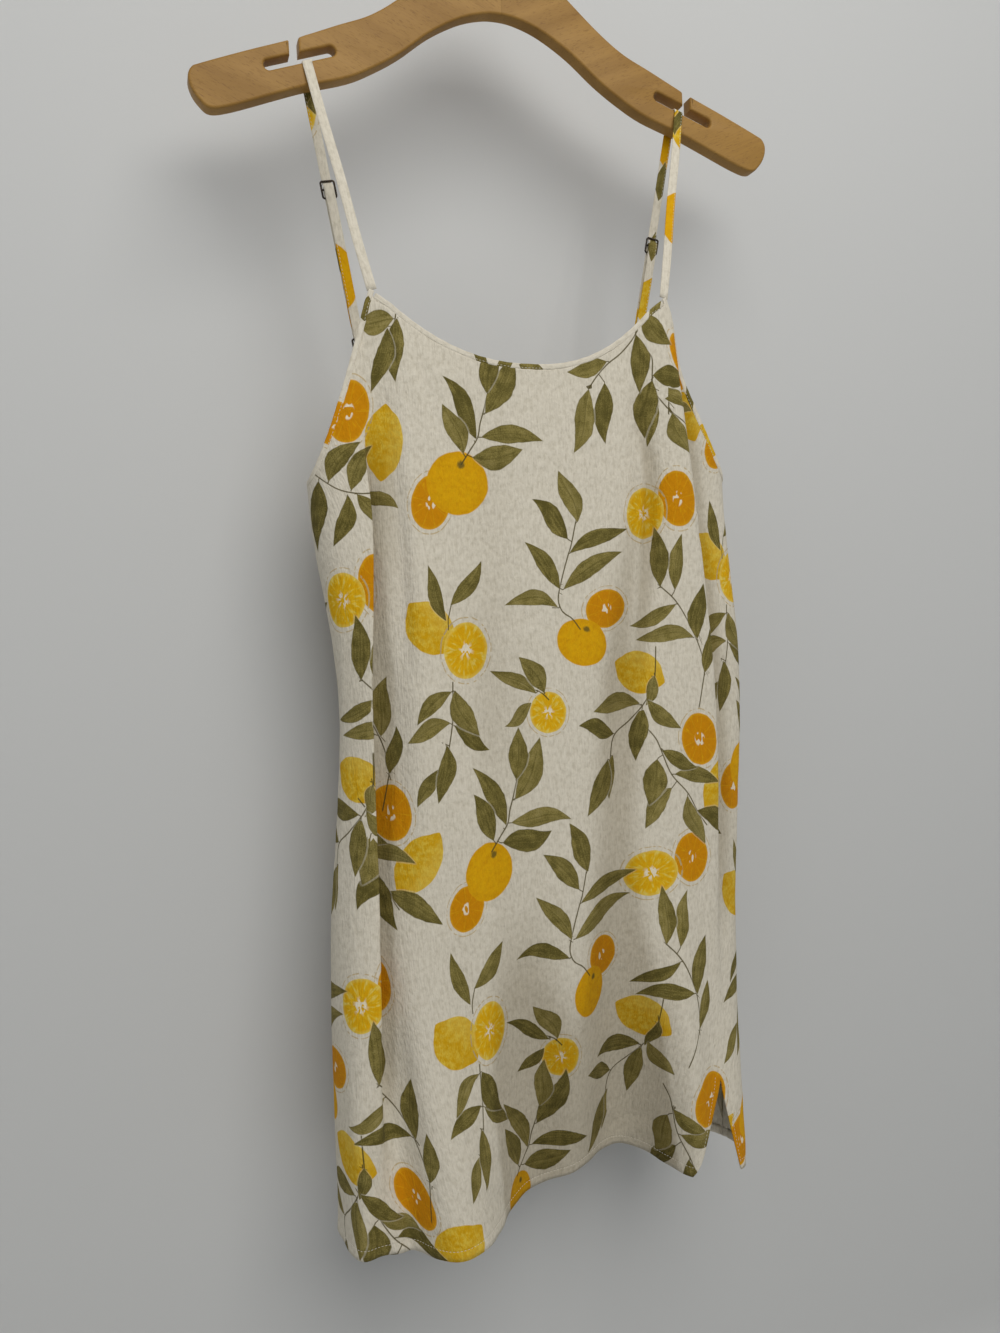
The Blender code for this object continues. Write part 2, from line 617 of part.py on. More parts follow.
def wire_frame(name, side, bars, finish):
    """Bent wire seen flat: a round-cornered frame with one opening, or two with a bar
    between them, its top wire on the strap's line."""
    start, (across, down, back), bar, loop = strap_frame(side)
    wrap = WIRE + GAP + STRAP / 2
    half_height = BAR_SPACING if bars else LOOP_HALF_HEIGHT
    middle = start + down * (bar if bars else loop + LOOP_HALF_HEIGHT) - back * wrap
    curve = bpy.data.curves.new(name, "CURVE")
    curve.dimensions = "2D"
    curve.fill_mode = "BOTH"
    round_off = 0.3 * MM
    curve.extrude = WIRE - round_off
    curve.bevel_depth = round_off
    curve.bevel_resolution = 1
    curve.offset = -round_off
    rounded(curve, METAL_HALF_WIDTH + WIRE, -half_height - WIRE, half_height + WIRE, 2 * MM)
    inner = METAL_HALF_WIDTH - WIRE
    edges = (-half_height + WIRE, -WIRE, WIRE, half_height - WIRE)
    for low, high in (edges[:2], edges[2:]) if bars else ((edges[0], edges[3]),):
        rounded(curve, inner, low, high, 1 * MM)
    obj = add(name, curve, finish)
    frame = Matrix((across, -down, -back)).transposed().to_4x4()
    frame.translation = middle
    obj.matrix_world = frame if side > 0 else mirrored(frame)
    return obj


def mirrored(frame):
    """The same frame on the other side of the hanger, turned over and not mirror-written."""
    flip = Matrix.Diagonal((-1, 1, 1, 1))
    return flip @ frame @ flip


def rounded(curve, half_width, low, high, radius):
    """A rectangle with round corners added to a curve."""
    points = []
    for x, y, start in ((half_width, high, 0), (-half_width, high, 90),
                        (-half_width, low, 180), (half_width, low, 270)):
        cx = x - math.copysign(radius, x)
        cy = y - radius if y == high else y + radius
        for step in range(4):
            turn = math.radians(start + 30 * step)
            points.append((cx + radius * math.cos(turn), cy + radius * math.sin(turn)))
    outline(curve, points)


def outline(curve, points):
    spline = curve.splines.new("POLY")
    spline.points.add(len(points) - 1)
    for point, (x, y) in zip(spline.points, points):
        point.co = (x, y, 0, 1)
    spline.use_cyclic_u = True


def slot_point(along, up):
    """A point (x, z) of the strap notch: along its sloping floor and up from it."""
    return (NOTCH_X + along * math.cos(SLOT_SLOPE) + up * math.sin(SLOT_SLOPE),
            NOTCH_Z - along * math.sin(SLOT_SLOPE) + up * math.cos(SLOT_SLOPE))


def arm_outline():
    """One arm's contour from the middle of its top round to the middle underneath."""
    top = [(x * MM, z * MM) for x, z in ARM_TOP]
    xs, zs = zip(*top)
    points = [p for p in top if p[0] < LIP_INNER_X]
    points.append((LIP_INNER_X, float(np.interp(LIP_INNER_X, xs, zs))))
    cos, lean = math.cos(SLOT_SLOPE), SLOT_HEIGHT * math.sin(SLOT_SLOPE)
    radius = SLOT_HEIGHT / 2
    points.append(slot_point((LIP_INNER_X - NOTCH_X - lean) / cos, SLOT_HEIGHT))
    inner = (SLOT_INNER_X - NOTCH_X) / cos + radius
    outer = (SLOT_OUTER_X - NOTCH_X) / cos - radius
    for step in range(7):
        turn = math.radians(90 + 30 * step)
        points.append(slot_point(inner + radius * math.cos(turn),
                                 radius + radius * math.sin(turn)))
    for step in range(7):
        turn = math.radians(-90 + 30 * step)
        points.append(slot_point(outer + radius * math.cos(turn),
                                 radius + radius * math.sin(turn)))
    points.append(slot_point((LIP_OUTER_X - NOTCH_X - lean) / cos, SLOT_HEIGHT))
    points.append((LIP_OUTER_X, float(np.interp(LIP_OUTER_X, xs, zs))))
    points += [p for p in top if p[0] > LIP_OUTER_X]
    points += [(x * MM, z * MM) for x, z in ARM_END + ARM_LOW]
    return points


def hanger(finish):
    """The plank's whole contour, cut into two halves at the glue line."""
    curve = bpy.data.curves.new("plank", "CURVE")
    curve.dimensions = "2D"
    curve.fill_mode = "BOTH"
    curve.extrude = WOOD_HALF_DEPTH - WOOD_ROUNDING
    curve.bevel_depth = WOOD_ROUNDING
    curve.bevel_resolution = 2
    curve.offset = -WOOD_ROUNDING
    right = arm_outline()
    outline(curve, right + [(-x, z) for x, z in right[-2:0:-1]])
    plank = bpy.data.objects.new("plank", curve)
    bpy.context.scene.collection.objects.link(plank)
    solid = bpy.data.meshes.new_from_object(plank.evaluated_get(
        bpy.context.evaluated_depsgraph_get()))
    bpy.data.objects.remove(plank)
    welded = bmesh.new()
    welded.from_mesh(solid)
    bmesh.ops.remove_doubles(welded, verts=welded.verts, dist=0.01 * MM)
    welded.to_mesh(solid)
    welded.free()
    for side, name in ((-1, "hanger_arm_left"), (1, "hanger_arm_right")):
        arm = add(name, solid.copy(), finish)
        arm.data.materials.clear()
        arm.data.materials.append(finish)
        arm.rotation_euler = (math.radians(90), 0, 0)
        half = bmesh.new()
        bmesh.ops.create_cube(half, size=1.0)
        for vertex in half.verts:
            vertex.co = vertex.co * 0.3
            vertex.co.x += side * (0.15 + GAP / 2) + GLUE_LINE_X
            vertex.co.z -= 0.15
        mesh = bpy.data.meshes.new(name + "_half")
        half.to_mesh(mesh)
        half.free()
        cutter = bpy.data.objects.new(name + "_half", mesh)
        CUTTERS.objects.link(cutter)
        cutter.hide_render = True
        cutter.display_type = "WIRE"
        cut = arm.modifiers.new("half", "BOOLEAN")
        cut.operation = "INTERSECT"
        cut.object = cutter


def hook(finish):
    """A plain rod: up from the wood, out to one side and round over the bearing point."""
    middle = -HOOK_INNER_RADIUS
    radius = HOOK_INNER_RADIUS + HOOK_WIRE
    points = [(0, ARM_TOP[0][1] * MM + GAP), (0, -66 * MM), (0, HOOK_BEND_Z)]
    turn = math.radians(-62)
    leave = Vector((radius * math.cos(turn), middle + radius * math.sin(turn)))
    start = Vector((0, HOOK_BEND_Z))
    pull = 17 * MM
    for step in range(1, 8):
        t = step / 8
        near = start + Vector((0, pull)) * t
        far = leave - Vector((-math.sin(turn), math.cos(turn))) * pull * (1 - t)
        points.append(tuple(near.lerp(far, smoothstep(t))))
    for step in range(25):
        turn = math.radians(-62 + 262 * step / 24)
        points.append((radius * math.cos(turn), middle + radius * math.sin(turn)))
    curve = bpy.data.curves.new("hanger_hook", "CURVE")
    curve.dimensions = "3D"
    curve.bevel_depth = HOOK_WIRE
    curve.bevel_resolution = 3
    curve.use_fill_caps = True
    spline = curve.splines.new("POLY")
    spline.points.add(len(points) - 1)
    for point, (x, z) in zip(spline.points, points):
        point.co = (float(x), 0, float(z), 1)
    return add("hanger_hook", curve, finish)


clear_scene()
PARTS = bpy.data.collections.new("mini_dress_on_hanger")
CUTTERS = bpy.data.collections.new("cutters")
bpy.context.scene.collection.children.link(PARTS)
bpy.context.scene.collection.children.link(CUTTERS)

PRINTED_COTTON = material("printed_cotton", (0.80, 0.76, 0.68), 0.9)
DARK_METAL = material("dark_metal", (0.08, 0.07, 0.06), 0.35, 1.0)
BEECH = material("varnished_beech", (0.55, 0.30, 0.12), 0.35)
STEEL = material("hook_steel", (0.62, 0.62, 0.60), 0.3, 1.0)

front_panel(PRINTED_COTTON)
back_panel(PRINTED_COTTON)
bindings(PRINTED_COTTON)
for SIDE, WORD in ((-1, "left"), (1, "right")):
    strap(SIDE, "strap_" + WORD, PRINTED_COTTON)
    tab(SIDE, "tab_" + WORD, PRINTED_COTTON)
    wire_frame("slider_" + WORD, SIDE, True, DARK_METAL)
    wire_frame("ring_" + WORD, SIDE, False, DARK_METAL)
hanger(BEECH)
hook(STEEL)
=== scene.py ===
# Looks of a strappy mini dress on a wooden hanger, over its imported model.
# Metres, +Z up. The origin is the bearing point inside the top of the hook.
import math

import bmesh
import bpy
import numpy as np
from mathutils import Matrix, Vector


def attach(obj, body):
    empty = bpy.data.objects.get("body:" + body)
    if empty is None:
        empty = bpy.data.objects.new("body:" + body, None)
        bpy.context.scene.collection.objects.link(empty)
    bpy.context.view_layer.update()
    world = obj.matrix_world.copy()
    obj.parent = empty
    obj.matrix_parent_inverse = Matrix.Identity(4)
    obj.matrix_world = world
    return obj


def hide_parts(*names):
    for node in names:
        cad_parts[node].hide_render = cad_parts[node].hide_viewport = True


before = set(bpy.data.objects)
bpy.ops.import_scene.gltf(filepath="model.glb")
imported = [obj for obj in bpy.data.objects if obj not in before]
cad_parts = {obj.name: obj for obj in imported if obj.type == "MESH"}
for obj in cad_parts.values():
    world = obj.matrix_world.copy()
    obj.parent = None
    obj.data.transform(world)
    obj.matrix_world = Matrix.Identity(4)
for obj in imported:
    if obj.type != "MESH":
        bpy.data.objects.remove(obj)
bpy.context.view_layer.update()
mm = 0.001
sides = ((-1, "Left"), (1, "Right"))

# camera: stood a little left of the middle and level with the dress's waist
view = {
    "place": (-0.2669, -0.7055, -0.5619),
    "right": (0.9430, -0.3296, -0.0469),
    "up": (0.0618, 0.0348, 0.9975),
    "forward": (0.3271, 0.9435, -0.0532),
    "lens": 26.93,
}


def makeCamera():
    data = bpy.data.cameras.new("camera")
    data.lens = view["lens"]
    data.clip_start = 0.02
    obj = bpy.data.objects.new("camera", data)
    axes = (Vector(view["right"]), Vector(view["up"]), -Vector(view["forward"]))
    place = Matrix(axes).transposed().to_4x4()
    place.translation = view["place"]
    obj.matrix_world = place
    bpy.context.scene.collection.objects.link(obj)
    bpy.context.scene.camera = obj


makeCamera()
print("camera stands")

# the hanging dress, by the same rule as its solids: rows of values at five levels, mm
levelZ = np.array([-340, -480, -610, -800, -1000]) * mm
plan = {
    "left": (157, 157, 144, 160, 166),
    "right": (170, 171, 180, 167, 154),
    "front": (35, 36, 37, 39, 35),
    "back": (22, 26, 28, 34, 50),
    "sideLeft": (0, 0, 0, -2, -8),
    "sideRight": (-6, 0, 0, -4, -14),
    "flatness": 0.7, "faceFade": 0.35, "seamAngle": 98.0, "seamGap": 0.12,
}
angleStep = 0.05  # degrees and millimetres, for slopes
# soft folds: place from the centre line, how far forward, half width
frontFolds = {
    "leftLobe": ((-145, -144, -135, -148, -162), (0, 1, 3, 7, 20), (12, 12, 13, 14, 19)),
    "leftValley": ((-112, -112, -114, -123, -121), (0, -3, -5, -6, -11), (9, 9, 10, 10, 9)),
    "leftRidge": ((-98, -96, -93, -106, -94), (0, 4, 6, 8, 34), (12, 14, 16, 19, 39)),
    "middle": ((-30, -32, -34, -30, -21), (0, -1, -2, -3, -28), (20, 22, 26, 26, 33)),
    "rightTrough": ((90, 86, 65, 50, 58), (0, -5, -7, -9, -50), (12, 14, 17, 21, 44)),
    "rightRidge": ((106, 108, 104, 100, 97), (3, 3, 3, 3, 28), (14, 14, 16, 18, 15)),
    "slitFlare": ((140, 145, 152, 150, 135), (0, 0, 0, 0, 20), (14, 14, 14, 14, 30)),
}
backFolds = {
    "leftFlute": ((-118, -116, -108, -112, -120), (0, 2, 5, 8, 12), (14, 15, 17, 19, 20)),
    "leftHollow": ((-78, -78, -72, -74, -80), (0, -2, -4, -6, -9), (14, 15, 17, 18, 20)),
    "centreFlute": ((-20, -22, -24, -20, -14), (0, 2, 4, 7, 10), (22, 24, 26, 26, 26)),
    "rightHollow": ((42, 44, 46, 44, 40), (0, -2, -4, -5, -8), (16, 17, 18, 20, 20)),
    "rightFlute": ((98, 98, 104, 100, 92), (0, 2, 4, 7, 10), (14, 15, 17, 19, 20)),
}
# lapped folds: place, lap and step
laps = {
    "leftLap": ((-121, -122, -128, -135, -138), (-16, 8, 9, 9, -1), (0, 3, 4, 4, 1)),
    "rightLap": ((114, 127, 139, 139, 120), (1, 8, 8, 3, -1), (1, 4, 4, 2, 0)),
}
lapHalfWidth = 8 * mm
lapLift = 2.6 * mm  # keeps a lap's upper layer clear of the lower


def atLevel(row, z):
    down = -levelZ
    values = np.array(row, float) * mm
    slopes = np.gradient(values, down)
    depth = np.clip(-np.asarray(z, float), down[0], down[-1])
    i = np.clip(np.searchsorted(down, depth) - 1, 0, len(down) - 2)
    step = down[i + 1] - down[i]
    t = (depth - down[i]) / step
    start = values[i] * (1 + 2 * t) * (1 - t) ** 2 + slopes[i] * step * t * (1 - t) ** 2
    end = values[i + 1] * (3 - 2 * t) * t**2 - slopes[i + 1] * step * t**2 * (1 - t)
    return start + end


def smoothStep(t):
    t = np.clip(t, 0.0, 1.0)
    return t * t * (3 - 2 * t)


def unit(vectors):
    return vectors / np.linalg.norm(vectors, axis=-1, keepdims=True)


def runOf(points):
    # the distance along a line up to each of its points
    return np.concatenate([[0], np.cumsum(np.linalg.norm(np.diff(points, axis=0), axis=1))])


def halfWidth(side, z):
    return np.where(np.asarray(side) < 0, atLevel(plan["left"], z), atLevel(plan["right"], z))


def dressPoint(angle, z):
    turn = np.radians(angle)
    across, ahead = np.sin(turn), np.cos(turn)
    x = halfWidth(across, z) * across
    side = atLevel(plan["sideLeft"], z) * (1 - across) / 2
    side = side + atLevel(plan["sideRight"], z) * (1 + across) / 2
    depth = np.where(ahead > 0, atLevel(plan["front"], z), -atLevel(plan["back"], z))
    y = side - depth * np.abs(ahead) ** plan["flatness"]
    faces = smoothStep(np.abs(ahead) / plan["faceFade"])
    flatX = x
    for folds, sign in ((frontFolds, 1), (backFolds, -1)):
        onPanel = faces * (ahead * sign > 0)
        for place, forward, width in folds.values():
            t = (flatX - atLevel(place, z)) / atLevel(width, z)
            y = y - sign * atLevel(forward, z) * np.exp(-t * t) * onPanel
    for place, lap, step in laps.values():
        t = (flatX - atLevel(place, z)) / lapHalfWidth
        onPanel = faces * (ahead > 0)
        x = x - np.maximum(atLevel(lap, z), 0) * t * np.exp((1 - t * t) / 2) * onPanel
        y = y + atLevel(step, z) * t / 2 * np.exp((1 - t * t / 4) / 2) * onPanel
        shut = np.clip(atLevel(lap, z) / lapHalfWidth, 0, 1)
        y = y + lapLift * shut * t * np.exp((1 - t * t) / 2) * onPanel
    return np.stack([x, y, np.broadcast_to(z, np.shape(x))], axis=-1)


def angleAt(x, z):
    return np.degrees(np.arcsin(np.clip(x / halfWidth(x, z), -1, 1)))


def outward(angle, z):
    # the surface's own outward direction, from its two slopes
    point = dressPoint(angle, z)
    alongAngle = dressPoint(angle + angleStep, z) - point
    alongDown = dressPoint(angle, z - angleStep * mm) - point
    return unit(np.cross(alongDown, alongAngle))


edges = {
    "apexMiddle": {-1: -111.5 * mm, 1: 105.5 * mm},
    "apexZ": {-1: -338.5 * mm, 1: -334.5 * mm},
    "neckZ": -386 * mm, "neckCurve": 2.3,
    "armpitZ": -464 * mm, "armholeCurve": 2.8,
    "backApex": 111 * mm, "backApexZ": -378 * mm,
    "backNeckZ": -440 * mm, "backNeckCurve": 2.4, "backArmholeCurve": 2.2,
    "hemZ": -1000 * mm, "hemLift": 14 * mm, "hemLiftX": 30 * mm, "hemLiftHalf": 55 * mm,
    "slitTopZ": -932 * mm, "slitLeft": 21.2 * mm, "slitRight": 20.2 * mm,
    "strapWidth": 7 * mm, "bindingWidth": 4.5 * mm, "samples": 600,
}


def hemZ(angle):
    x = dressPoint(angle, edges["hemZ"])[..., 0]
    away = (x - edges["hemLiftX"]) / edges["hemLiftHalf"]
    return edges["hemZ"] + edges["hemLift"] * np.exp(-away**2) * (np.abs(angle) < 90)


def armholeLine(side, start, startZ, curve):
    down = np.linspace(0, 1, edges["samples"])
    angles = start + (side * plan["seamAngle"] - start) * down
    return angles, edges["armpitZ"] + (startZ - edges["armpitZ"]) * (1 - down) ** curve


def backAngle(x):
    side = 1 if x > 0 else -1
    return side * (180 - abs(float(angleAt(x, edges["backApexZ"]))))


def frontEdges():
    half = edges["strapWidth"] / 2
    lines, corner = {}, {}
    for side in (-1, 1):
        middle, top = edges["apexMiddle"][side], edges["apexZ"][side]
        corner[side] = float(angleAt(middle - side * half, top))
        lines[side] = armholeLine(side, float(angleAt(middle + side * half, top)), top,
                                  edges["armholeCurve"])
    angles = np.linspace(corner[-1], corner[1], edges["samples"])
    share = np.sin(np.radians(np.abs(angles))) / np.sin(np.radians(
        np.where(angles < 0, -corner[-1], corner[1])))
    top = np.where(angles < 0, edges["apexZ"][-1], edges["apexZ"][1])
    return lines, (angles, edges["neckZ"] + (top - edges["neckZ"]) * share ** edges["neckCurve"])


def backEdges():
    half = edges["strapWidth"] / 2
    lines, corner = {}, {}
    for side in (-1, 1):
        corner[side] = backAngle(side * (edges["backApex"] - half))
        lines[side] = armholeLine(side, backAngle(side * (edges["backApex"] + half)),
                                  edges["backApexZ"], edges["backArmholeCurve"])
    angles = np.linspace(corner[1], 360 + corner[-1], edges["samples"])
    share = np.abs(np.sin(np.radians(angles)))
    share = share / np.where(angles < 180, share[0], share[-1])
    rise = edges["backApexZ"] - edges["backNeckZ"]
    return lines, (angles, edges["backNeckZ"] + rise * share ** edges["backNeckCurve"])


def evenly(line, count, first=0.0, last=0.0):
    run = runOf(dressPoint(*line))
    wanted = np.linspace(first, run[-1] - last, count + 1)
    return np.interp(wanted, run, line[0]), np.interp(wanted, run, line[1])


def inward(line, width):
    # stations moved into the cloth, square to their edge
    angles, heights = line
    point = dressPoint(angles, heights)
    alongAngle = (dressPoint(angles + angleStep, heights) - point) / angleStep
    alongZ = (dressPoint(angles, heights - angleStep * mm) - point) / (angleStep * mm)
    into = np.cross(unit(np.gradient(point, axis=0)), unit(np.cross(alongZ, alongAngle)))
    stretch = np.linalg.norm(alongAngle, axis=1)
    sideways = np.einsum("ij,ij->i", into, alongAngle) / stretch
    downward = np.einsum("ij,ij->i", into, alongZ) / np.linalg.norm(alongZ, axis=1)
    return angles + width * sideways / stretch, heights - width * downward


# cloth coordinates: millimetres across the cloth from its centre line, and down
arcLook = {"reach": 99.0, "low": -1.0, "high": -0.33, "heights": 90, "half": 900}


def arcTable(centre):
    reach, half = arcLook["reach"], arcLook["half"]
    angles = np.linspace(centre - reach, centre + reach, 2 * half + 1)
    heights = np.linspace(arcLook["low"], arcLook["high"], arcLook["heights"])
    grid = dressPoint(angles[None, :], heights[:, None])
    run = np.cumsum(np.linalg.norm(np.diff(grid, axis=1), axis=2), axis=1)
    run = np.concatenate([np.zeros((len(heights), 1)), run], axis=1)
    return angles, heights, (run - run[:, half:half + 1]) / mm


def clothPlace(table, angle, z):
    angles, heights, run = table
    u = np.clip((angle - angles[0]) / (angles[1] - angles[0]), 0, len(angles) - 1.001)
    v = np.clip((z - heights[0]) / (heights[1] - heights[0]), 0, len(heights) - 1.001)
    i, j = u.astype(int), v.astype(int)
    u, v = u - i, v - j
    low = run[j, i] * (1 - u) + run[j, i + 1] * u
    high = run[j + 1, i] * (1 - u) + run[j + 1, i + 1] * u
    return np.stack([low * (1 - v) + high * v, -z / mm], axis=-1)


frontArc, backArc = arcTable(0.0), arcTable(180.0)

# print chart, in cloth millimetres from each bunch's own anchor, drawn
# leaves: base, tip, width, bend; fruit: kind, middle, half sizes, turn; stem: points
bunches = {
    "orangeSprig": {
        "leaves": [((5, -20), (-9, -56), 15, 2), ((15, -30), (-9, -75), 14, 4),
                   ((24, -62), (28, -101), 15, 1), ((22, -48), (44, -93), 18, 4),
                   ((18, -32), (66, -29), 14, -4), ((11, -18), (50, -24), 18, 3)],
        "fruit": [("whole", (0, 0), (22, 22), 12), ("orangeSlice", (-20, 13), (14, 19), 14)],
        "stem": [(3, -13), (10, -23), (16, -32), (18, -41), (21, -50), (25, -64)],
        "seen": [(-59, 470), (-51, 744), (-42, 991)],
        "again": {1: [("whole", (0, 1), (17, 21), 20), ("orangeSlice", (-18, 25), (12, 17), 20)],
                  2: [("whole", (4, 2), (13, 17), 15)]},
    },
    "hangingSprig": {
        "leaves": [((-13, -21), (-25, -62), 11, -2), ((-10, -32), (15, -64), 12, 3),
                   ((-12, 28), (-39, 51), 12, 4), ((-10, 27), (8, 62), 17, 4),
                   ((-14, 50), (-47, 63), 13, 3), ((-12, 52), (15, 72), 13, 1),
                   ((-18, 65), (-27, 107), 14, -3), ((-24, 81), (-42, 108), 11, 1)],
        "fruit": [("yellowSlice", (0, 0), (16, 20), 8), ("lemon", (-26, -17), (23, 17), 52)],
        "stem": [(-11, 22), (-12, 38), (-13, 51), (-16, 66), (-20, 83)],
        "twigs": [((-9, -33), (-12, -22), (-12, -15))],
        "seen": [(-59, 587), (-58, 859)],
        "again": {1: [("yellowSlice", (0, 0), (13, 21), 10), ("lemon", (-27, 2), (22, 18), 48)]},
        "bare": [(-59, 317)],
    },
    "tallSprig": {
        "leaves": [((0, -87), (-14, -126), 16, 2), ((-8, -75), (-36, -105), 15, 3),
                   ((-8, -65), (44, -83), 12, -3), ((-16, -39), (-43, -75), 13, 3),
                   ((-14, -39), (39, -66), 14, -4), ((-18, -26), (-60, -29), 12, 7)],
        "fruit": [("whole", (0, 0), (21, 17), 20), ("orangeSlice", (21, -24), (18, 14), -12)],
        "stem": [(-2, -10), (-8, -18), (-15, -23), (-18, -32), (-15, -45), (-9, -63),
                 (-6, -71), (-1, -90)],
        "seen": [(30, 586), (25, 842)],
        "again": {1: [("whole", (-1, 3), (14, 19), 16), ("orangeSlice", (12, -22), (13, 15), 10)]},
    },
    "smallSlice": {
        "leaves": [((-2, -14), (-21, -42), 15, 3), ((-8, -14), (-43, -33), 11, 2),
                   ((-12, -8), (-34, 8), 10, -2)],
        "fruit": [("yellowSlice", (0, 0), (14, 15), 0)],
        "stem": [(1, -9), (-5, -15), (-13, -18)],
        "seen": [(0, 635), (-2, 890)],
    },
    "lemonSprig": {
        "leaves": [((5, 21), (32, 45), 13, 3), ((12, 3), (3, 26), 10, -2),
                   ((0, 24), (-44, 27), 15, 4), ((-23, 45), (-57, 36), 14, 2),
                   ((1, 26), (-7, 68), 15, 1), ((-30, 63), (-53, 104), 17, -3),
                   ((-25, 60), (-31, 94), 10, 2)],
        "fruit": [("lemon", (0, 0), (22, 16), 24)],
        "stem": [(14, -18), (13, -4), (11, 8), (3, 23), (-10, 36), (-24, 47), (-28, 64)],
        "seen": [(79, 611), (77, 875), (-165, 673), (-190, 933)],
        "again": {1: [("lemon", (0, 0), (27, 15), 28)]},
        "bare": [(79, 341)],
    },
    "climbingSprig": {
        "leaves": [((11, 56), (8, 9), 15, 2), ((22, 59), (30, 15), 12, -2),
                   ((23, 69), (-17, 84), 11, -3), ((37, 95), (-12, 95), 13, 4),
                   ((40, 97), (48, 53), 17, -3), ((45, 123), (52, 88), 13, 2)],
        "fruit": [("yellowSlice", (0, 0), (16, 19), 10), ("orangeSlice", (27, -10), (15, 21), -6)],
        "stem": [(10, 54), (21, 65), (30, 79), (40, 99), (45, 118), (43, 131), (39, 148)],
        "seen": [(88, 492), (79, 763), (-166, 548), (-172, 827)],
        "again": {1: [("yellowSlice", (0, 0), (22, 17), 0),
                      ("orangeSlice", (35, -8), (15, 19), 0)]},
        "bare": [(-168, 267), (88, 222)],
    },
    "lowSprig": {
        "leaves": [((-33, 6), (-2, 22), 12, 2), ((-24, 25), (18, 36), 13, -3),
                   ((-37, 12), (-47, 48), 21, -2), ((-26, 35), (-51, 65), 16, 3),
                   ((-14, 42), (2, 83), 15, 3), ((-6, 55), (35, 81), 16, -3)],
        "fruit": [("orangeSlice", (0, 0), (16, 20), -8), ("lemon", (19, 36), (27, 15), 128)],
        "stem": [(-44, -12), (-37, -3), (-33, 7), (-26, 25), (-13, 41), (-4, 57), (3, 67)],
        "seen": [(129, 380), (126, 665), (144, 941), (-121, 698), (-144, 964)],
        "again": {4: [("orangeSlice", (0, 0), (15, 20), -30), ("lemon", (27, 30), (24, 17), 150)]},
        "bare": [(-127, 425), (129, 380)],
    },
    # as the gathered cloth shows them under the straps and at the armholes
    "leftShoulder": {
        "leaves": [((-98, 358), (-125, 357), 18, -3), ((-103, 363), (-117, 408), 13, -3),
                   ((-96, 357), (-99, 402), 14, 2)],
        "fruit": [], "stem": [(-97, 351), (-97, 357), (-99, 363)], "seen": [(0, 0)],
    },
    "leftArmhole": {
        "leaves": [((-159, 467), (-126, 440), 13, -4), ((-146, 474), (-117, 442), 12, -3),
                   ((-143, 476), (-131, 502), 14, -2), ((-128, 475), (-102, 487), 11, -2),
                   ((-166, 465), (-185, 515), 19, 3), ((-149, 476), (-169, 512), 12, -3)],
        "fruit": [("orangeSlice", (-133, 420), (14, 22), 17),
                  ("lemon", (-110, 441), (27, 14), 97)],
        "stem": [(-173, 455), (-163, 465), (-153, 473), (-140, 476), (-127, 475)],
        "seen": [(0, 0)],
    },
    "rightShoulder": {
        "leaves": [((59, 382), (25, 391), 13, -2), ((43, 402), (28, 450), 17, -3),
                   ((56, 397), (56, 443), 16, 2), ((83, 361), (86, 405), 17, -2),
                   ((88, 345), (112, 369), 17, 3)],
        "fruit": [], "stem": [(90, 342), (83, 361), (71, 375), (59, 384), (50, 393), (43, 402)],
        "seen": [(0, 0)],
    },
    "rightArmhole": {
        "leaves": [((96, 391), (127, 391), 17, 1), ((96, 394), (91, 438), 20, 4),
                   ((97, 403), (92, 444), 11, -1), ((97, 400), (130, 417), 11, -2),
                   ((111, 418), (127, 449), 16, 3), ((122, 410), (146, 414), 10, 0),
                   ((128, 447), (153, 458), 8, 0)],
        "fruit": [("orangeSlice", (123, 379), (10, 22), -27), ("lemon", (143, 418), (21, 12), 62)],
        "stem": [(87, 370), (92, 373), (96, 379), (96, 394), (98, 403), (104, 411), (111, 418),
                 (124, 427)],
        "seen": [(0, 0)],
    },
}
hungOnly = ("leftShoulder", "leftArmhole", "rightShoulder", "rightArmhole")
repeat = {
    "across": (256, -45), "down": (1, 270), "left": -330, "right": 330, "top": 180, "low": 1120,
    "bareWithin": 60, "seenWithin": 75, "twigLength": 9, "backShift": (34, -30),
    "kinds": ("whole", "orangeSlice", "yellowSlice", "lemon"),
}


def bunchPlaces(shift=None):
    # every place in the repeat, and the hung cloth's own places where the front shows them
    places = []
    across, down = np.array(repeat["across"]), np.array(repeat["down"])
    for name, bunch in bunches.items():
        seen = np.array(bunch["seen"], float)
        taken = set()
        if name in hungOnly:
            if shift is None:
                places.append((name, seen[0], None))
            continue
        for i in range(-2, 3):
            for j in range(-4, 5):
                at = seen[0] + across * i + down * j
                if not (repeat["left"] < at[0] < repeat["right"]
                        and repeat["top"] < at[1] < repeat["low"]):
                    continue
                if shift:
                    places.append((name, at + np.array(shift), None))
                    continue
                if any(math.dist(at, spot) < repeat["bareWithin"]
                       for spot in bunch.get("bare", ())):
                    continue
                away = np.linalg.norm(seen - at, axis=1)
                nearest, again = int(np.argmin(away)), None
                if away[nearest] < repeat["seenWithin"]:
                    if nearest in taken:
                        continue
                    taken.add(nearest)
                    at, again = seen[nearest], bunch.get("again", {}).get(nearest)
                places.append((name, at, again))
    return places


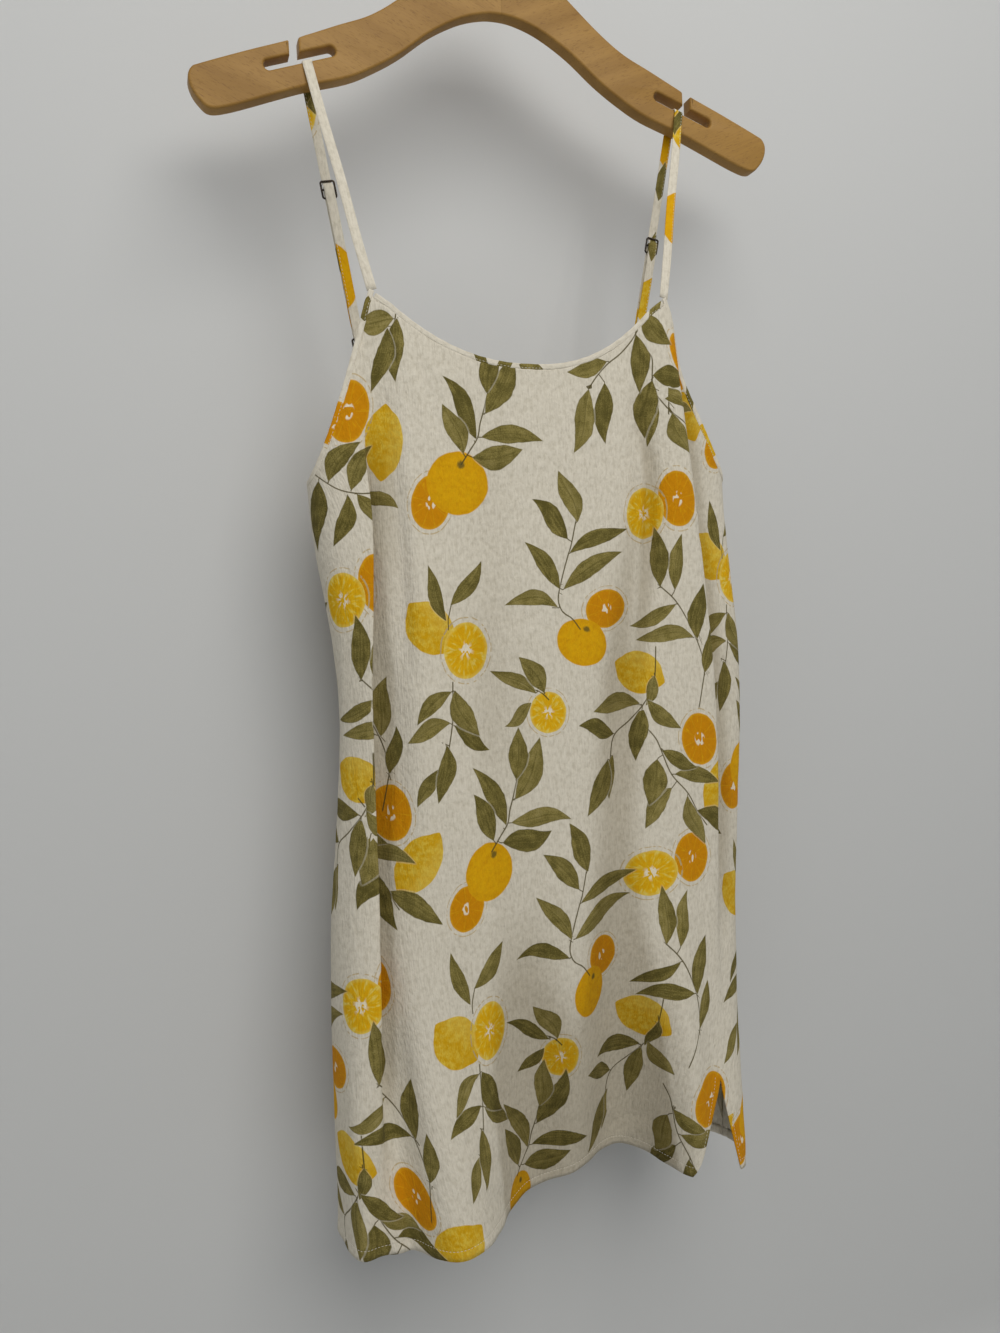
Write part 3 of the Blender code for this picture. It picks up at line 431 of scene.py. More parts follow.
def motifsOf(places):
    leaves, fruit, stems, twigs = [], [], [], []
    for count, (name, at, again) in enumerate(places):
        bunch = bunches[name]
        line = smoothLine(np.array(bunch["stem"], float) + at, 6)
        for number, (base, tip, width, bend) in enumerate(bunch["leaves"]):
            seed = (count * 0.37 + number * 0.173) % 1
            base, tip = at + base, at + tip
            leaves.append((base, tip, width, bend, seed))
            nearest = line[np.argmin(np.linalg.norm(line - base, axis=1))]
            if math.dist(nearest, base) < repeat["twigLength"]:
                twigs.append(np.array([nearest, base, base + (tip - base) * 0.12]))
        twigs += [np.array(line, float) + at for line in bunch.get("twigs", ())]
        for kind, middle, half, turn in again or bunch["fruit"]:
            fruit.append((kind, at + middle, half, turn, (count * 0.29) % 0.8 + 0.1))
        stems.append(line)
    return leaves, fruit, stems, twigs


def smoothLine(points, steps):
    # a curve through all its points
    points = np.asarray(points, float)
    ends = np.concatenate([2 * points[:1] - points[1:2], points,
                           2 * points[-1:] - points[-2:-1]])
    made = []
    for a, b, c, d in zip(ends, ends[1:], ends[2:], ends[3:]):
        for t in np.arange(steps) / steps:
            made.append(b + 0.5 * t * (c - a + t * (2 * a - 5 * b + 4 * c - d
                                                    + t * (3 * (b - c) + d - a))))
    return np.array(made + [points[-1]])


def keepValues(mesh, name, kind, domain, values):
    made = mesh.attributes.new(name, kind, domain)
    made.data.foreach_set("value" if kind == "FLOAT" else "vector",
                          values.astype(np.float32).ravel())


def faceValues(elements, title):
    values = np.empty(len(elements), np.int32)
    elements.foreach_get(title, values)
    return values


def stampPrint(mesh, places, motifs):
    # tells each face which leaf, fruit and stem lies on it, as coordinates of its corners
    leaves, fruit, stems, twigs = motifs
    loops, totals = faceValues(mesh.loops, "vertex_index"), faceValues(mesh.polygons, "loop_total")
    count = len(totals)
    face = np.repeat(np.arange(count), totals)
    corner = places[loops]
    middle = np.stack([np.bincount(face, corner[:, k]) / totals for k in (0, 1)], axis=1)
    away = np.linalg.norm(corner - middle[face], axis=1)
    margin = np.zeros(count)
    np.maximum.at(margin, face, away)
    layers = {name: np.full((len(loops), 3), 9.0) for name in
              ("leafA", "leafB", "leafC", "fruitA", "fruitB", "stem", "twig")}
    used = {kind: np.zeros(count, int) for kind in ("leaf", "fruit")}

    def settle(kind, names, hit, values):
        for depth, name in enumerate(names):
            pick = hit & (used[kind] == depth)
            if pick.any():
                chosen = pick[face]
                layers[name][chosen] = values(corner[chosen])
        used[kind][hit] += 1

    for base, tip, width, bend, seed in leaves:
        length = math.dist(base, tip)
        u = (np.array(tip) - base) / length
        v = np.array((-u[1], u[0]))

        def leafValues(at):
            d = at - base
            a = d @ u / length
            bow = bend * 4 * a * (1 - a) + (seed - 0.5) * 3.2 * np.sin(2 * math.pi * a)
            return np.stack([a, (d @ v - bow) / (width / 2),
                             np.full(len(a), seed)], axis=1)

        near = np.linalg.norm(middle - (np.array(base) + tip) / 2, axis=1) < length / 2 + 20
        hit = np.zeros(count, bool)
        local = leafValues(middle[near])
        edge = margin[near] + 0.5
        hit[near] = (np.abs(local[:, 0] - 0.5) * length < length / 2 + edge) & (
            np.abs(local[:, 1]) * width / 2 < width / 2 * 1.15 + edge)
        settle("leaf", ("leafA", "leafB", "leafC"), hit, leafValues)
    for kind, at, half, turn, seed in fruit:
        turned = math.radians(turn)
        axis = np.array((math.cos(turned), math.sin(turned)))
        other = np.array((-axis[1], axis[0]))
        code = repeat["kinds"].index(kind) + seed

        def fruitValues(where):
            d = where - at
            return np.stack([d @ axis / half[0], d @ other / half[1],
                             np.full(len(d), code)], axis=1)

        local = fruitValues(middle)
        grow = 1.28 + (margin + 0.3) / min(half)
        settle("fruit", ("fruitA", "fruitB"),
               np.hypot(local[:, 0], local[:, 1]) < grow, fruitValues)
    best = {kind: np.full(count, 1e9) for kind in ("stem", "twig")}
    for kind, line in [("stem", line) for line in stems] + [("twig", line) for line in twigs]:
        begin, step = line[:-1], np.diff(line, axis=0)
        size = (step**2).sum(axis=1) + 1e-9

        def stemValues(where):
            d = where[:, None, :] - begin[None]
            t = (d * step).sum(axis=2) / size
            inside = np.clip(t, 0, 1)
            gap = np.linalg.norm(d - inside[..., None] * step, axis=2)
            k = np.argmin(gap, axis=1)
            rows = np.arange(len(where))
            cross = (step[k, 0] * d[rows, k, 1] - step[k, 1] * d[rows, k, 0]) / np.sqrt(size[k])
            t = t[rows, k]
            t = np.where((k > 0) & (t < 0), 0, t)
            t = np.where((k < len(begin) - 1) & (t > 1), 1, t)
            return np.stack([cross, (k + t) / len(begin), gap[rows, k]], axis=1)

        box = (middle > line.min(axis=0) - 5).all(axis=1) & (
            middle < line.max(axis=0) + 5).all(axis=1)
        index = np.nonzero(box)[0]
        if not len(index):
            continue
        gap = stemValues(middle[index])[:, 2]
        closer = (gap < margin[index] + 0.7) & (gap < best[kind][index])
        hit = index[closer]
        best[kind][hit] = gap[closer]
        chosen = np.isin(face, hit)
        if chosen.any():
            layers[kind][chosen] = stemValues(corner[chosen])
    for name, values in layers.items():
        keepValues(mesh, name, "FLOAT_VECTOR", "CORNER", values)


def keepCloth(mesh, places, edgeGap):
    # across, down and the distance to the nearest hemmed edge, all in millimetres
    keepValues(mesh, "cloth", "FLOAT_VECTOR", "POINT",
               np.concatenate([places, edgeGap[:, None]], axis=1))


# node helpers
def mathStep(operation, turned=False, **settings):
    def step(self, *others):
        values = (*others, self) if turned else (self, *others)
        return Wire(put(self.tree, "ShaderNodeMath", dict(enumerate(values)),
                        operation=operation, **settings).outputs[0])
    return step


class Wire:
    # a shader node's output: each step of a sum written with it adds one Math node
    def __init__(self, socket):
        self.socket, self.tree = socket, socket.id_data

    __add__ = __radd__ = mathStep("ADD")
    __mul__ = __rmul__ = mathStep("MULTIPLY")
    __sub__, __rsub__ = mathStep("SUBTRACT"), mathStep("SUBTRACT", turned=True)
    __pow__, __abs__ = mathStep("POWER"), mathStep("ABSOLUTE")
    least, most, over = mathStep("MINIMUM"), mathStep("MAXIMUM"), mathStep("GREATER_THAN")
    sine, arctan2, root = mathStep("SINE"), mathStep("ARCTAN2"), mathStep("SQRT")
    floor, fract, nears = mathStep("FLOOR"), mathStep("FRACT"), mathStep("COMPARE")
    limited = mathStep("MULTIPLY", use_clamp=True)


def put(tree, kind, inputs=None, **settings):
    node = tree.nodes.new(kind)
    for key, value in settings.items():
        setattr(node, key, value)
    for key, value in (inputs or {}).items():
        socket, value = node.inputs[key], getattr(value, "socket", value)
        if isinstance(value, bpy.types.NodeSocket):
            tree.links.new(value, socket)
        elif socket.type == "RGBA" and len(value) == 3:
            socket.default_value = (*value, 1.0)
        else:
            socket.default_value = value
    return node


def treeOf(*values):
    return next(value.tree for value in values if isinstance(value, Wire))


def mix(factor, a, b, mode="MIX"):
    return Wire(put(treeOf(factor, a, b), "ShaderNodeMix", {0: factor, 6: a, 7: b},
                    data_type="RGBA", blend_type=mode).outputs[2])


def blend(factor, a, b):
    return Wire(put(treeOf(factor, a, b), "ShaderNodeMix", {0: factor, 2: a, 3: b}).outputs[0])


def soft(value, low, high):
    # 0 under low and 1 over high, or turned round where low is the larger
    return Wire(put(value.tree, "ShaderNodeMapRange", {0: value, 1: low, 2: high}, clamp=True,
                    interpolation_type="SMOOTHSTEP").outputs[0])


def noise(vector, scale, detail=2.0, roughness=0.55, distortion=0.0):
    return Wire(put(vector.tree, "ShaderNodeTexNoise", {
        "Vector": vector, "Scale": scale, "Detail": detail, "Roughness": roughness,
        "Distortion": distortion}).outputs[0])


def scaled(vector, size, turn=(0, 0, 0), shift=(0, 0, 0)):
    return Wire(put(vector.tree, "ShaderNodeMapping", {
        "Vector": vector, "Location": shift, "Rotation": turn, "Scale": size}).outputs[0])


def parts(vector):
    return [Wire(s) for s in put(vector.tree, "ShaderNodeSeparateXYZ", {0: vector}).outputs]


def joined(x, y, z):
    return Wire(put(x.tree, "ShaderNodeCombineXYZ", {0: x, 1: y, 2: z}).outputs[0])


def attribute(tree, name, output="Vector"):
    return Wire(put(tree, "ShaderNodeAttribute", attribute_name=name).outputs[output])


def objectPlace(tree):
    return Wire(put(tree, "ShaderNodeTexCoord").outputs["Object"])


def curveOf(value, points):
    node = put(value.tree, "ShaderNodeFloatCurve", {"Value": value})
    line = node.mapping.curves[0]
    line.points[0].location, line.points[1].location = points[0], points[-1]
    for point in points[1:-1]:
        line.points.new(*point)
    node.mapping.update()
    return Wire(node.outputs[0])


def bump(height, distance, strength=1.0):
    return Wire(put(height.tree, "ShaderNodeBump", {
        "Height": height, "Distance": distance, "Strength": strength}).outputs[0])


def wiresOf(node):
    return {socket.name: Wire(socket) for socket in node.outputs if socket.name}


def newGroup(name, inputs, outputs):
    # inputs by their usual value, which is None for a vector
    tree = bpy.data.node_groups.new(name, "ShaderNodeTree")
    for title, value in inputs.items():
        kind = "Vector" if value is None else "Color" if isinstance(value, tuple) else "Float"
        socket = tree.interface.new_socket(title, in_out="INPUT", socket_type="NodeSocket" + kind)
        if value is not None:
            socket.default_value = (*value, 1.0) if kind == "Color" else value
    for title in outputs:
        kind = "Color" if title == "Colour" else "Float"
        tree.interface.new_socket(title, in_out="OUTPUT", socket_type="NodeSocket" + kind)
    return wiresOf(put(tree, "NodeGroupInput")), put(tree, "NodeGroupOutput")


def useGroup(group, **inputs):
    return wiresOf(put(treeOf(*inputs.values()), "ShaderNodeGroup", inputs, node_tree=group))


def send(node, **values):
    # links values to a node's inputs and gives back its tree
    for key, value in values.items():
        node.id_data.links.new(value.socket, node.inputs[key.replace("_", " ")])
    return node.id_data


def finish(name, roughness=0.5, metallic=0.0, **more):
    made = bpy.data.materials.new(name)
    made.use_nodes = True
    shader = made.node_tree.nodes["Principled BSDF"]
    for key, value in {"Roughness": roughness, "Metallic": metallic, **more}.items():
        shader.inputs[key.replace("_", " ")].default_value = value
    return made, made.node_tree, shader


# the print's inks
inks = {
    "leaf": (0.265, 0.215, 0.060), "leafDark": (0.115, 0.094, 0.022),
    "leafLight": (0.40, 0.33, 0.13), "stem": (0.105, 0.082, 0.024),
    "orange": (0.79, 0.425, 0.005), "orangeDeep": (0.68, 0.315, 0.003),
    "sliceOrange": (0.66, 0.27, 0.003), "sliceRim": (0.78, 0.42, 0.015),
    "yellow": (0.80, 0.49, 0.014), "yellowPale": (0.84, 0.65, 0.14),
    "lemon": (0.80, 0.57, 0.065), "lemonEnd": (0.68, 0.38, 0.006),
    "ring": (0.56, 0.41, 0.19), "pith": (0.92, 0.85, 0.68),
}


def leafOutline():
    given, result = newGroup("leafOutline", {"Leaf": None, "Wobble": 0.0},
                             ("Mask", "Halo", "Inside"))
    along, across, _ = parts(given["Leaf"])
    skew = along.least(1.0).most(0.0) ** 0.86
    width = (skew * math.pi).sine().most(0.0) ** 1.12
    inside = width * (given["Wobble"] + 1.0) - abs(across)
    grow = width.limited(8.0)
    return send(result, Mask=soft(inside, 0.0, 0.09) * grow,
                Halo=soft(inside, -0.13, -0.05) * grow, Inside=inside)


def leafInk():
    given, result = newGroup("leafInk", {"Leaf": None, "Cloth": None, "Inside": 0.0}, ["Colour"])
    along, across, seed = parts(given["Leaf"])
    cloudy = noise(given["Cloth"], 0.13, 1.0, 0.6)
    fine = noise(given["Cloth"], 1.1, 1.0, 0.7)
    brushed = noise(joined(along * 2.2, across * 4.5, seed * 60.0), 1.0, 2.0, 0.6)
    mottle = cloudy * 0.34 + (fine * 0.44 + brushed * 0.36) + (seed - 0.5) * 0.16
    colour = mix(soft(mottle, 0.40, 0.66), inks["leafDark"], inks["leaf"])
    colour = mix(soft(mottle, 0.58, 0.84) * 0.8, colour, inks["leafLight"])
    darkSide, tip = soft(across, -0.05, 0.5) * 0.25, soft(along, 0.75, 1.0) * 0.35
    rib = soft(abs(across), 0.085, 0.03) * soft(along, 0.9, 0.6) * 0.45
    rim = soft(given["Inside"], 0.16, 0.05) * 0.4
    for shade in (darkSide, tip, rib, rim):
        colour = mix(shade, colour, inks["leafDark"])
    return send(result, Colour=colour)


def distance(x, y):
    return (x * x + y * y).root()


def fruitRadius(x, y, slant):
    return distance(x, y) + (slant - 0.5) * 0.08


def fruitOutline():
    given, result = newGroup("fruitOutline", {"Fruit": None, "Slant": 0.5, "Gap": 1.0}, ["Mask"])
    x, y, code = parts(given["Fruit"])
    kind = code.floor()
    radius = fruitRadius(x, y, given["Slant"])
    disc = soft(radius, 1.02, 0.98)
    outline = soft(abs(radius - 1.17), 0.034, 0.012) * given["Gap"]
    sliced = disc.most(outline * 0.75)
    # lemon: a lens with blunt points at both ends
    reach = curveOf(abs(x), [(0, 1.0), (0.3, 0.95), (0.6, 0.72), (0.82, 0.37), (0.92, 0.2),
                             (1.0, 0.0)])
    belly = reach - abs(y) + (given["Slant"] - 0.5) * 0.12
    lens = soft(belly, 0.0, 0.05) * soft(abs(x), 1.0, 0.97)
    mask = blend(kind.nears(0.0, 0.1), sliced, disc)
    return send(result, Mask=blend(kind.nears(3.0, 0.1), mask, lens))


def fruitInk():
    given, result = newGroup("fruitInk", {"Fruit": None, "Cloth": None, "Slant": 0.5}, ["Colour"])
    cloth = given["Cloth"]
    x, y, code = parts(given["Fruit"])
    kind, seed = code.floor(), code.fract()
    radius = fruitRadius(x, y, given["Slant"])
    turn = y.arctan2(x) + seed * 6.0
    mottle = noise(cloth, 0.22, 2.0, 0.65)
    grain = noise(scaled(cloth, (1.6, 0.35, 1)), 1.0, 1.0, 0.7)
    streaky = mottle * 0.6 + grain * 0.4
    # whole orange with its small dark calyx
    whole = mix(soft(streaky, 0.25, 0.60), inks["orangeDeep"], inks["orange"])
    whole = mix(soft(radius, 0.6, 1.0) * 0.3, whole, inks["orangeDeep"])
    fromCalyx = distance(x, y + 0.6) + (grain - 0.5) * 0.10
    whole = mix(soft(fromCalyx, 0.17, 0.07) * 0.85, whole, inks["leafDark"])
    # slices: radial cells, and a star or a few pips of pith in the middle
    rays = noise(joined(turn * 2.6, radius * 1.3, seed), 2.2, 1.0, 0.6)
    spokes = abs((turn * 4.5).sine())
    isYellow = kind.nears(2.0, 0.1)
    petals = abs((turn * 3.0 + mottle * 3.0).sine())
    star = soft(petals, 0.80, 0.97) * soft(radius, 0.42, 0.14) * isYellow * soft(
        radius, 0.05, 0.12)
    pips = noise(scaled(cloth, (0.40, 0.17, 1)), 1.0, 0.0)
    core = star.most(soft(pips, 0.53, 0.57) * soft(radius, 0.30, 0.22))
    orange = mix(soft(rays, 0.62, 0.85), inks["sliceOrange"], inks["orange"])
    orange = mix(soft(spokes, 0.16, 0.03) * 0.35, orange, inks["yellow"])
    orange = mix(soft(radius, 0.86, 0.98) * 0.5, orange, inks["sliceRim"])
    yellow = mix(soft(rays, 0.36, 0.60), inks["orange"], inks["yellow"])
    yellow = mix(soft(rays, 0.52, 0.72) * soft(radius, 0.2, 0.75), yellow, inks["yellowPale"])
    yellow = mix(soft(radius, 0.82, 1.0) * 0.55, yellow, inks["yellowPale"])
    sliced = mix(core * 0.9, mix(isYellow, orange, yellow), inks["pith"])
    sliced = mix(soft(radius, 1.03, 1.05), sliced, inks["ring"])
    lemon = mix(soft(streaky, 0.40, 0.66), inks["lemonEnd"], inks["lemon"])
    lemon = mix(soft(x, 0.25, 0.95) * 0.75, lemon, inks["lemonEnd"])
    lemon = mix(soft(x, -0.55, -1.0) * 0.5, lemon, inks["lemonEnd"])
    lemon = mix(soft(y, 0.1, -0.7) * 0.3, lemon, inks["yellowPale"])
    isWhole, isLemon = kind.nears(0.0, 0.1), kind.nears(3.0, 0.1)
    return send(result, Colour=mix(isLemon, mix(isWhole, sliced, whole), lemon))


def printGroup():
    given, result = newGroup("citrusPrint", {"Ground": (0.8, 0.76, 0.68), "Cloth": None,
                                             "Ink": 1.0}, ["Colour"])
    cloth, ground, ink = given["Cloth"], given["Ground"], given["Ink"]
    nowhere = (9.0, 9.0, 9.0)
    slant = noise(cloth, 0.10, 1.0)
    broken = soft(noise(cloth, 0.35, 0.0), 0.36, 0.5)
    outline = fruitOutline()
    cover, chosen = 0.0, nowhere
    for name in ("fruitB", "fruitA"):
        fruit = attribute(cloth.tree, name)
        mask = useGroup(outline, Fruit=fruit, Slant=slant, Gap=broken)["Mask"]
        chosen = mix(mask.over(0.001), chosen, fruit)
        cover = mask.most(cover)
    painted = useGroup(fruitInk(), Fruit=chosen, Cloth=cloth, Slant=slant)["Colour"]
    colour = mix(cover * ink, ground, painted)
    for name, half in (("twig", 0.5), ("stem", 0.62)):
        offset, along, _ = parts(attribute(cloth.tree, name))
        ends = soft(along, -0.02, 0.0) * soft(along, 1.02, 1.0)
        stem = soft(abs(offset), half, half - 0.24) * ends * ink * 0.9
        colour = mix(stem, colour, inks["stem"])
    wobble = (noise(cloth, 0.15, 1.0) - 0.5) * 0.22
    outline = leafOutline()
    cover, chosen, inside = 0.0, nowhere, 0.0
    for name in ("leafC", "leafB", "leafA"):
        leaf = attribute(cloth.tree, name)
        shape = useGroup(outline, Leaf=leaf, Wobble=wobble)
        isIn = shape["Mask"].over(0.001)
        chosen = mix(isIn, chosen, leaf)
        inside = blend(isIn, inside, shape["Inside"])
        # a thin pale line is left round a leaf that lies over another
        cover = ((1.0 - shape["Halo"] * 0.3) * cover).most(shape["Mask"])
        colour = mix(shape["Halo"] * 0.25, colour, ground)
    painted = useGroup(leafInk(), Leaf=chosen, Cloth=cloth, Inside=inside)["Colour"]
    return send(result, Colour=mix(cover * ink, colour, painted))


def gauzeGroup():
    # crinkled gauze: two millimetre puckers longer than wide, threads, and slubs
    given, result = newGroup("crinkledGauze", {"Cloth": None, "Pucker": 1.0}, ("Height", "Shade"))
    cloth, pucker = given["Cloth"], given["Pucker"]
    puckers = noise(scaled(cloth, (0.36, 0.22, 1), (0, 0, 0.25)), 1.0, 2.0, 0.6)
    grain = noise(scaled(cloth, (0.9, 0.10, 1)), 1.0, 1.0, 0.5)
    x, y, _ = parts(cloth)
    threads = ((x * 11.0).sine() + (y * 10.0).sine()) * 0.035
    slubs = soft(noise(scaled(cloth, (0.05, 1.6, 1)), 1.0, 0.0), 0.66, 0.78)
    crumple = noise(scaled(cloth, (0.085, 0.055, 1), (0, 0, 0.3)), 1.0, 2.0, 0.5)
    crumple = soft(abs(crumple - 0.5), 0.12, 0.0) * pucker
    height = puckers * pucker + grain * 0.6 + threads + slubs * 0.03 + crumple * 0.20
    # Shade sets painted shade: the cloth is painted darker where the puckers and the grain lie low
    shade = soft(puckers, 0.28, 0.6) * 0.10 + soft(grain, 0.3, 0.7) * 0.06
    return send(result, Height=height, Shade=shade)


cottonLook = {
    "ground": (0.81, 0.75, 0.625), "shaded": (0.68, 0.62, 0.495), "reverseInk": 0.55,
    # dark specks of the weave, painted deepest in the pucker hollows as painted shade
    "speckShade": (0.02, 0.02, 0.015), "speckShadeDepth": 0.45,
    # painted shade in the folds' hollows: its colour, its strength, and the depth in millimetres
    # where it is full
    "hollow": (0.34, 0.29, 0.20), "hollowShadeDepth": 0.42, "hollowShadeFull": -6.0,
    "pucker": 0.85, "bandPucker": 0.25, "bumpDepth": 0.8 * mm, "bandBumpDepth": 0.4 * mm,
    "hemRidge": 7.0, "ridgeHeight": 0.35, "stitchDent": 0.45,
}
printTree, gauzeTree = printGroup(), gauzeGroup()


def cottonFinish(name, ink, hemmed=True):
    look = cottonLook
    made, tree, shader = finish(name, 0.95, Sheen_Weight=0.02, Sheen_Roughness=0.5,
                                Specular_IOR_Level=0.1)
    measured = attribute(tree, "cloth")
    cloth = scaled(measured, (1, 1, 0))
    gauze = useGroup(gauzeTree, Cloth=cloth, Pucker=look["pucker" if hemmed else "bandPucker"])
    height, shade = gauze["Height"], gauze["Shade"]
    # painted shade: the ground is darker in the puckers' hollows, and dark specks of the weave are
    # painted deepest there
    ground = mix(shade.limited(6.0), look["shaded"], look["ground"])
    colour = useGroup(printTree, Ground=ground, Cloth=cloth, Ink=ink)["Colour"]
    colour = mix((0.16 - shade) * look["speckShadeDepth"], colour, look["speckShade"])
    # painted shade: the cloth is darkened in the hollows of its folds and beside its laps, where
    # shade falls
    hollow = soft(attribute(tree, "hollow", "Fac"), 0.0, look["hollowShadeFull"]) * look["hollowShadeDepth"]
    colour = mix(hollow, colour, mix(1.0, colour, look["hollow"], "MULTIPLY"))
    if hemmed:  # the turned hem stands a little proud, and its stitching draws it in
        fromEdge, line = parts(measured)[2], look["hemRidge"]
        height = height + soft(fromEdge, line + 1, line - 0.5) * look["ridgeHeight"]
        height = height - soft(abs(fromEdge - line), 1.1, 0.0) * look["stitchDent"]
    depth = look["bumpDepth" if hemmed else "bandBumpDepth"]
    send(shader, Base_Color=colour, Normal=bump(height, depth))
    return made


printedCotton = cottonFinish("printedCotton", 1.0)
cottonReverse = cottonFinish("cottonReverse", cottonLook["reverseInk"])
bandCotton = cottonFinish("bandCotton", 1.0, hemmed=False)
print("print and gauze are mixed")


# mesh helpers
def newPiece(name, mesh, *finishes, smooth=True):
    obj = bpy.data.objects.new(name, mesh)
    bpy.context.scene.collection.objects.link(obj)
    mesh.materials.clear()
    for made in finishes:
        mesh.materials.append(made)
    if smooth:
        mesh.shade_smooth()
    return obj


def gridMesh(name, place, keep=None):
    rows, columns = place.shape[:2]
    index = np.arange(rows * columns).reshape(rows, columns)
    quads = np.stack([index[:-1, :-1], index[1:, :-1], index[1:, 1:], index[:-1, 1:]], axis=-1)
    quads = quads.reshape(-1, 4) if keep is None else quads[keep]
    mesh = bpy.data.meshes.new(name)
    mesh.from_pydata(place.reshape(-1, 3).tolist(), [], quads.tolist())
    return mesh


def solidSheet(obj, thickness, reverse=1):
    wall = obj.modifiers.new("wall", "SOLIDIFY")
    wall.thickness = thickness
    wall.offset = 0.0
    wall.material_offset = reverse
    return obj


def declare(obj, node):
    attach(obj, "root")
    if node:
        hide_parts(node)
    return obj


# the two panels
panel = {
    "thickness": 0.8 * mm, "rows": 200, "armhole": 39, "neck": 89, "tipDrop": 9 * mm,
    "neckStart": 13 * mm, "inset": 3.0 * mm, "lapSpread": 15 * mm, "slitColumn": 144,
    "slitFade": 21, "freeBelow": -0.455, "shapedBelow": -0.53,
    "backRows": 150, "backArmhole": 24, "backNeck": 44,
}


def frontLines(z):
    left, right = atLevel(laps["leftLap"][0], z), atLevel(laps["rightLap"][0], z)
    spread, seam = panel["lapSpread"], plan["seamAngle"] - plan["seamGap"]
    one = np.ones_like(z)
    lapStart, lapEnd = angleAt(left - spread, z), angleAt(right + spread * 0.75, z)
    return [-seam * one, (lapStart - seam) / 2, lapStart, angleAt(left + spread, z),
            angleAt(right - spread, z), lapEnd, (lapEnd + seam) / 2, seam * one]


def backLines(z):
    one = np.ones_like(z)
    seam = plan["seamAngle"] + plan["seamGap"]
    return [seam * one, 114 * one, 246 * one, (360 - seam) * one]


def openSlit(angles, z, column):
    share = np.clip((edges["slitTopZ"] - z) / (edges["slitTopZ"] - edges["hemZ"]), 0, 1) ** 1.2
    half = atLevel(plan["right"], z)
    middle = (angles[..., column:column + 1] + angles[..., column + 1:column + 2]) / 2
    for step, side, reach in ((0, -1, edges["slitLeft"]), (1, 1, edges["slitRight"])):
        moved = np.degrees(share * reach / (half * np.cos(np.radians(middle))))
        fade = np.arange(angles.shape[-1]) - (column + step)
        near = (side * fade >= 0) & (side * fade < panel["slitFade"])
        angles = angles + side * moved * np.where(near, 1 - side * fade / panel["slitFade"], 0)
    return angles


def panelGrid(top, lines, anchors, rows, hem, column=None):
    topAngle, topZ = top
    count = len(topAngle)

    def lowAngles(z):
        values = lines(np.minimum(z, panel["freeBelow"]))
        at = np.arange(count)
        k = np.clip(np.searchsorted(anchors, at, side="right") - 1, 0, len(anchors) - 2)
        a, b = np.array(anchors)[k], np.array(anchors)[k + 1]
        t = (at - a) / (b - a)
        rowsAt = np.arange(z.shape[0])[:, None]
        stack = np.stack(values)
        low = stack[k[None, :], rowsAt, at[None, :]] * (1 - t) + stack[
            k[None, :] + 1, rowsAt, at[None, :]] * t
        return low if column is None else openSlit(low, z, column)

    bottom = lowAngles(np.full((1, count), edges["hemZ"]))[0]
    share = (np.arange(rows + 1) / rows)[:, None] ** 1.05
    heights = topZ + (hem(bottom) - topZ) * share
    fade = smoothStep((topZ - heights) / (topZ - panel["shapedBelow"]))
    return topAngle * (1 - fade) + lowAngles(heights) * fade, heights


def joinStations(*pieces):
    return np.concatenate([p[0] for p in pieces]), np.concatenate([p[1] for p in pieces])


def frontStations():
    lines, neck = frontEdges()
    drop, start = panel["tipDrop"], panel["neckStart"]
    left = evenly((lines[-1][0][::-1], lines[-1][1][::-1]), panel["armhole"], last=drop)
    right = evenly(lines[1], panel["armhole"], first=drop)
    left[0][0] += plan["seamGap"]
    right[0][-1] -= plan["seamGap"]
    return left, evenly(neck, panel["neck"], start, start), right


def backStations():
    lines, neck = backEdges()
    drop, start = panel["tipDrop"], panel["neckStart"]
    right = evenly((lines[1][0][::-1], lines[1][1][::-1]), panel["backArmhole"], last=drop)
    left = evenly((lines[-1][0] + 360, lines[-1][1]), panel["backArmhole"], first=drop)
    right[0][0] += plan["seamGap"]
    left[0][-1] -= plan["seamGap"]
    return right, evenly(neck, panel["backNeck"], start, start), left


def tip(angle, z):
    return np.array([float(angle)]), np.array([float(z)])


# creases in cloth millimetres: from, to, half width, height
frontCreases = [
    ((-108, 352), (-98, 470), 4, 0.8), ((-98, 356), (-74, 450), 4, 0.7),
    ((-88, 362), (-46, 440), 5, 0.5), ((-118, 352), (-128, 450), 4, -0.7),
    ((-104, 405), (-102, 600), 7, -3.2), ((-117, 430), (-115, 600), 7, 1.5),
    ((104, 350), (98, 430), 4, 0.7),
    ((100, 425), (98, 640), 9, -1.8), ((76, 425), (72, 640), 12, 0.9),
    ((-120, 690), (-118, 930), 7, 1.3), ((-103, 690), (-100, 930), 8, -1.3),
    ((-50, 560), (-46, 800), 12, -0.8), ((40, 620), (30, 900), 13, -1.0),
    ((112, 640), (100, 930), 8, 1.2), ((-64, 700), (-62, 940), 10, 0.8),
    ((112, 350), (122, 440), 4, 0.7), ((96, 356), (74, 430), 5, -0.5),
    ((-20, 545), (6, 560), 3, 0.35), ((-8, 570), (20, 556), 3, 0.3),
    ((-34, 560), (-22, 590), 3, 0.3), ((20, 600), (44, 596), 3, -0.3),
    ((120, 486), (138, 500), 3, 0.6), ((124, 500), (140, 515), 3, -0.5),
    ((34, 962), (66, 950), 3, 0.7), ((46, 974), (92, 958), 3, -0.6),
    ((60, 984), (110, 966), 3, 0.6), ((20, 944), (48, 938), 3, 0.4),
    ((-96, 955), (-60, 972), 4, 0.7), ((-88, 972), (-52, 984), 3, -0.6),
    ((-120, 930), (-104, 985), 4, -0.5), ((-40, 930), (-30, 980), 4, 0.5),
    ((-168, 560), (-176, 640), 4, 0.5), ((-178, 700), (-186, 800), 5, -0.5),
    ((-186, 870), (-176, 960), 5, 0.6), ((168, 600), (176, 690), 5, 0.6),
    ((176, 740), (170, 860), 5, -0.5), ((40, 700), (52, 780), 6, 0.35),
    ((-16, 740), (-24, 830), 6, -0.35),
]
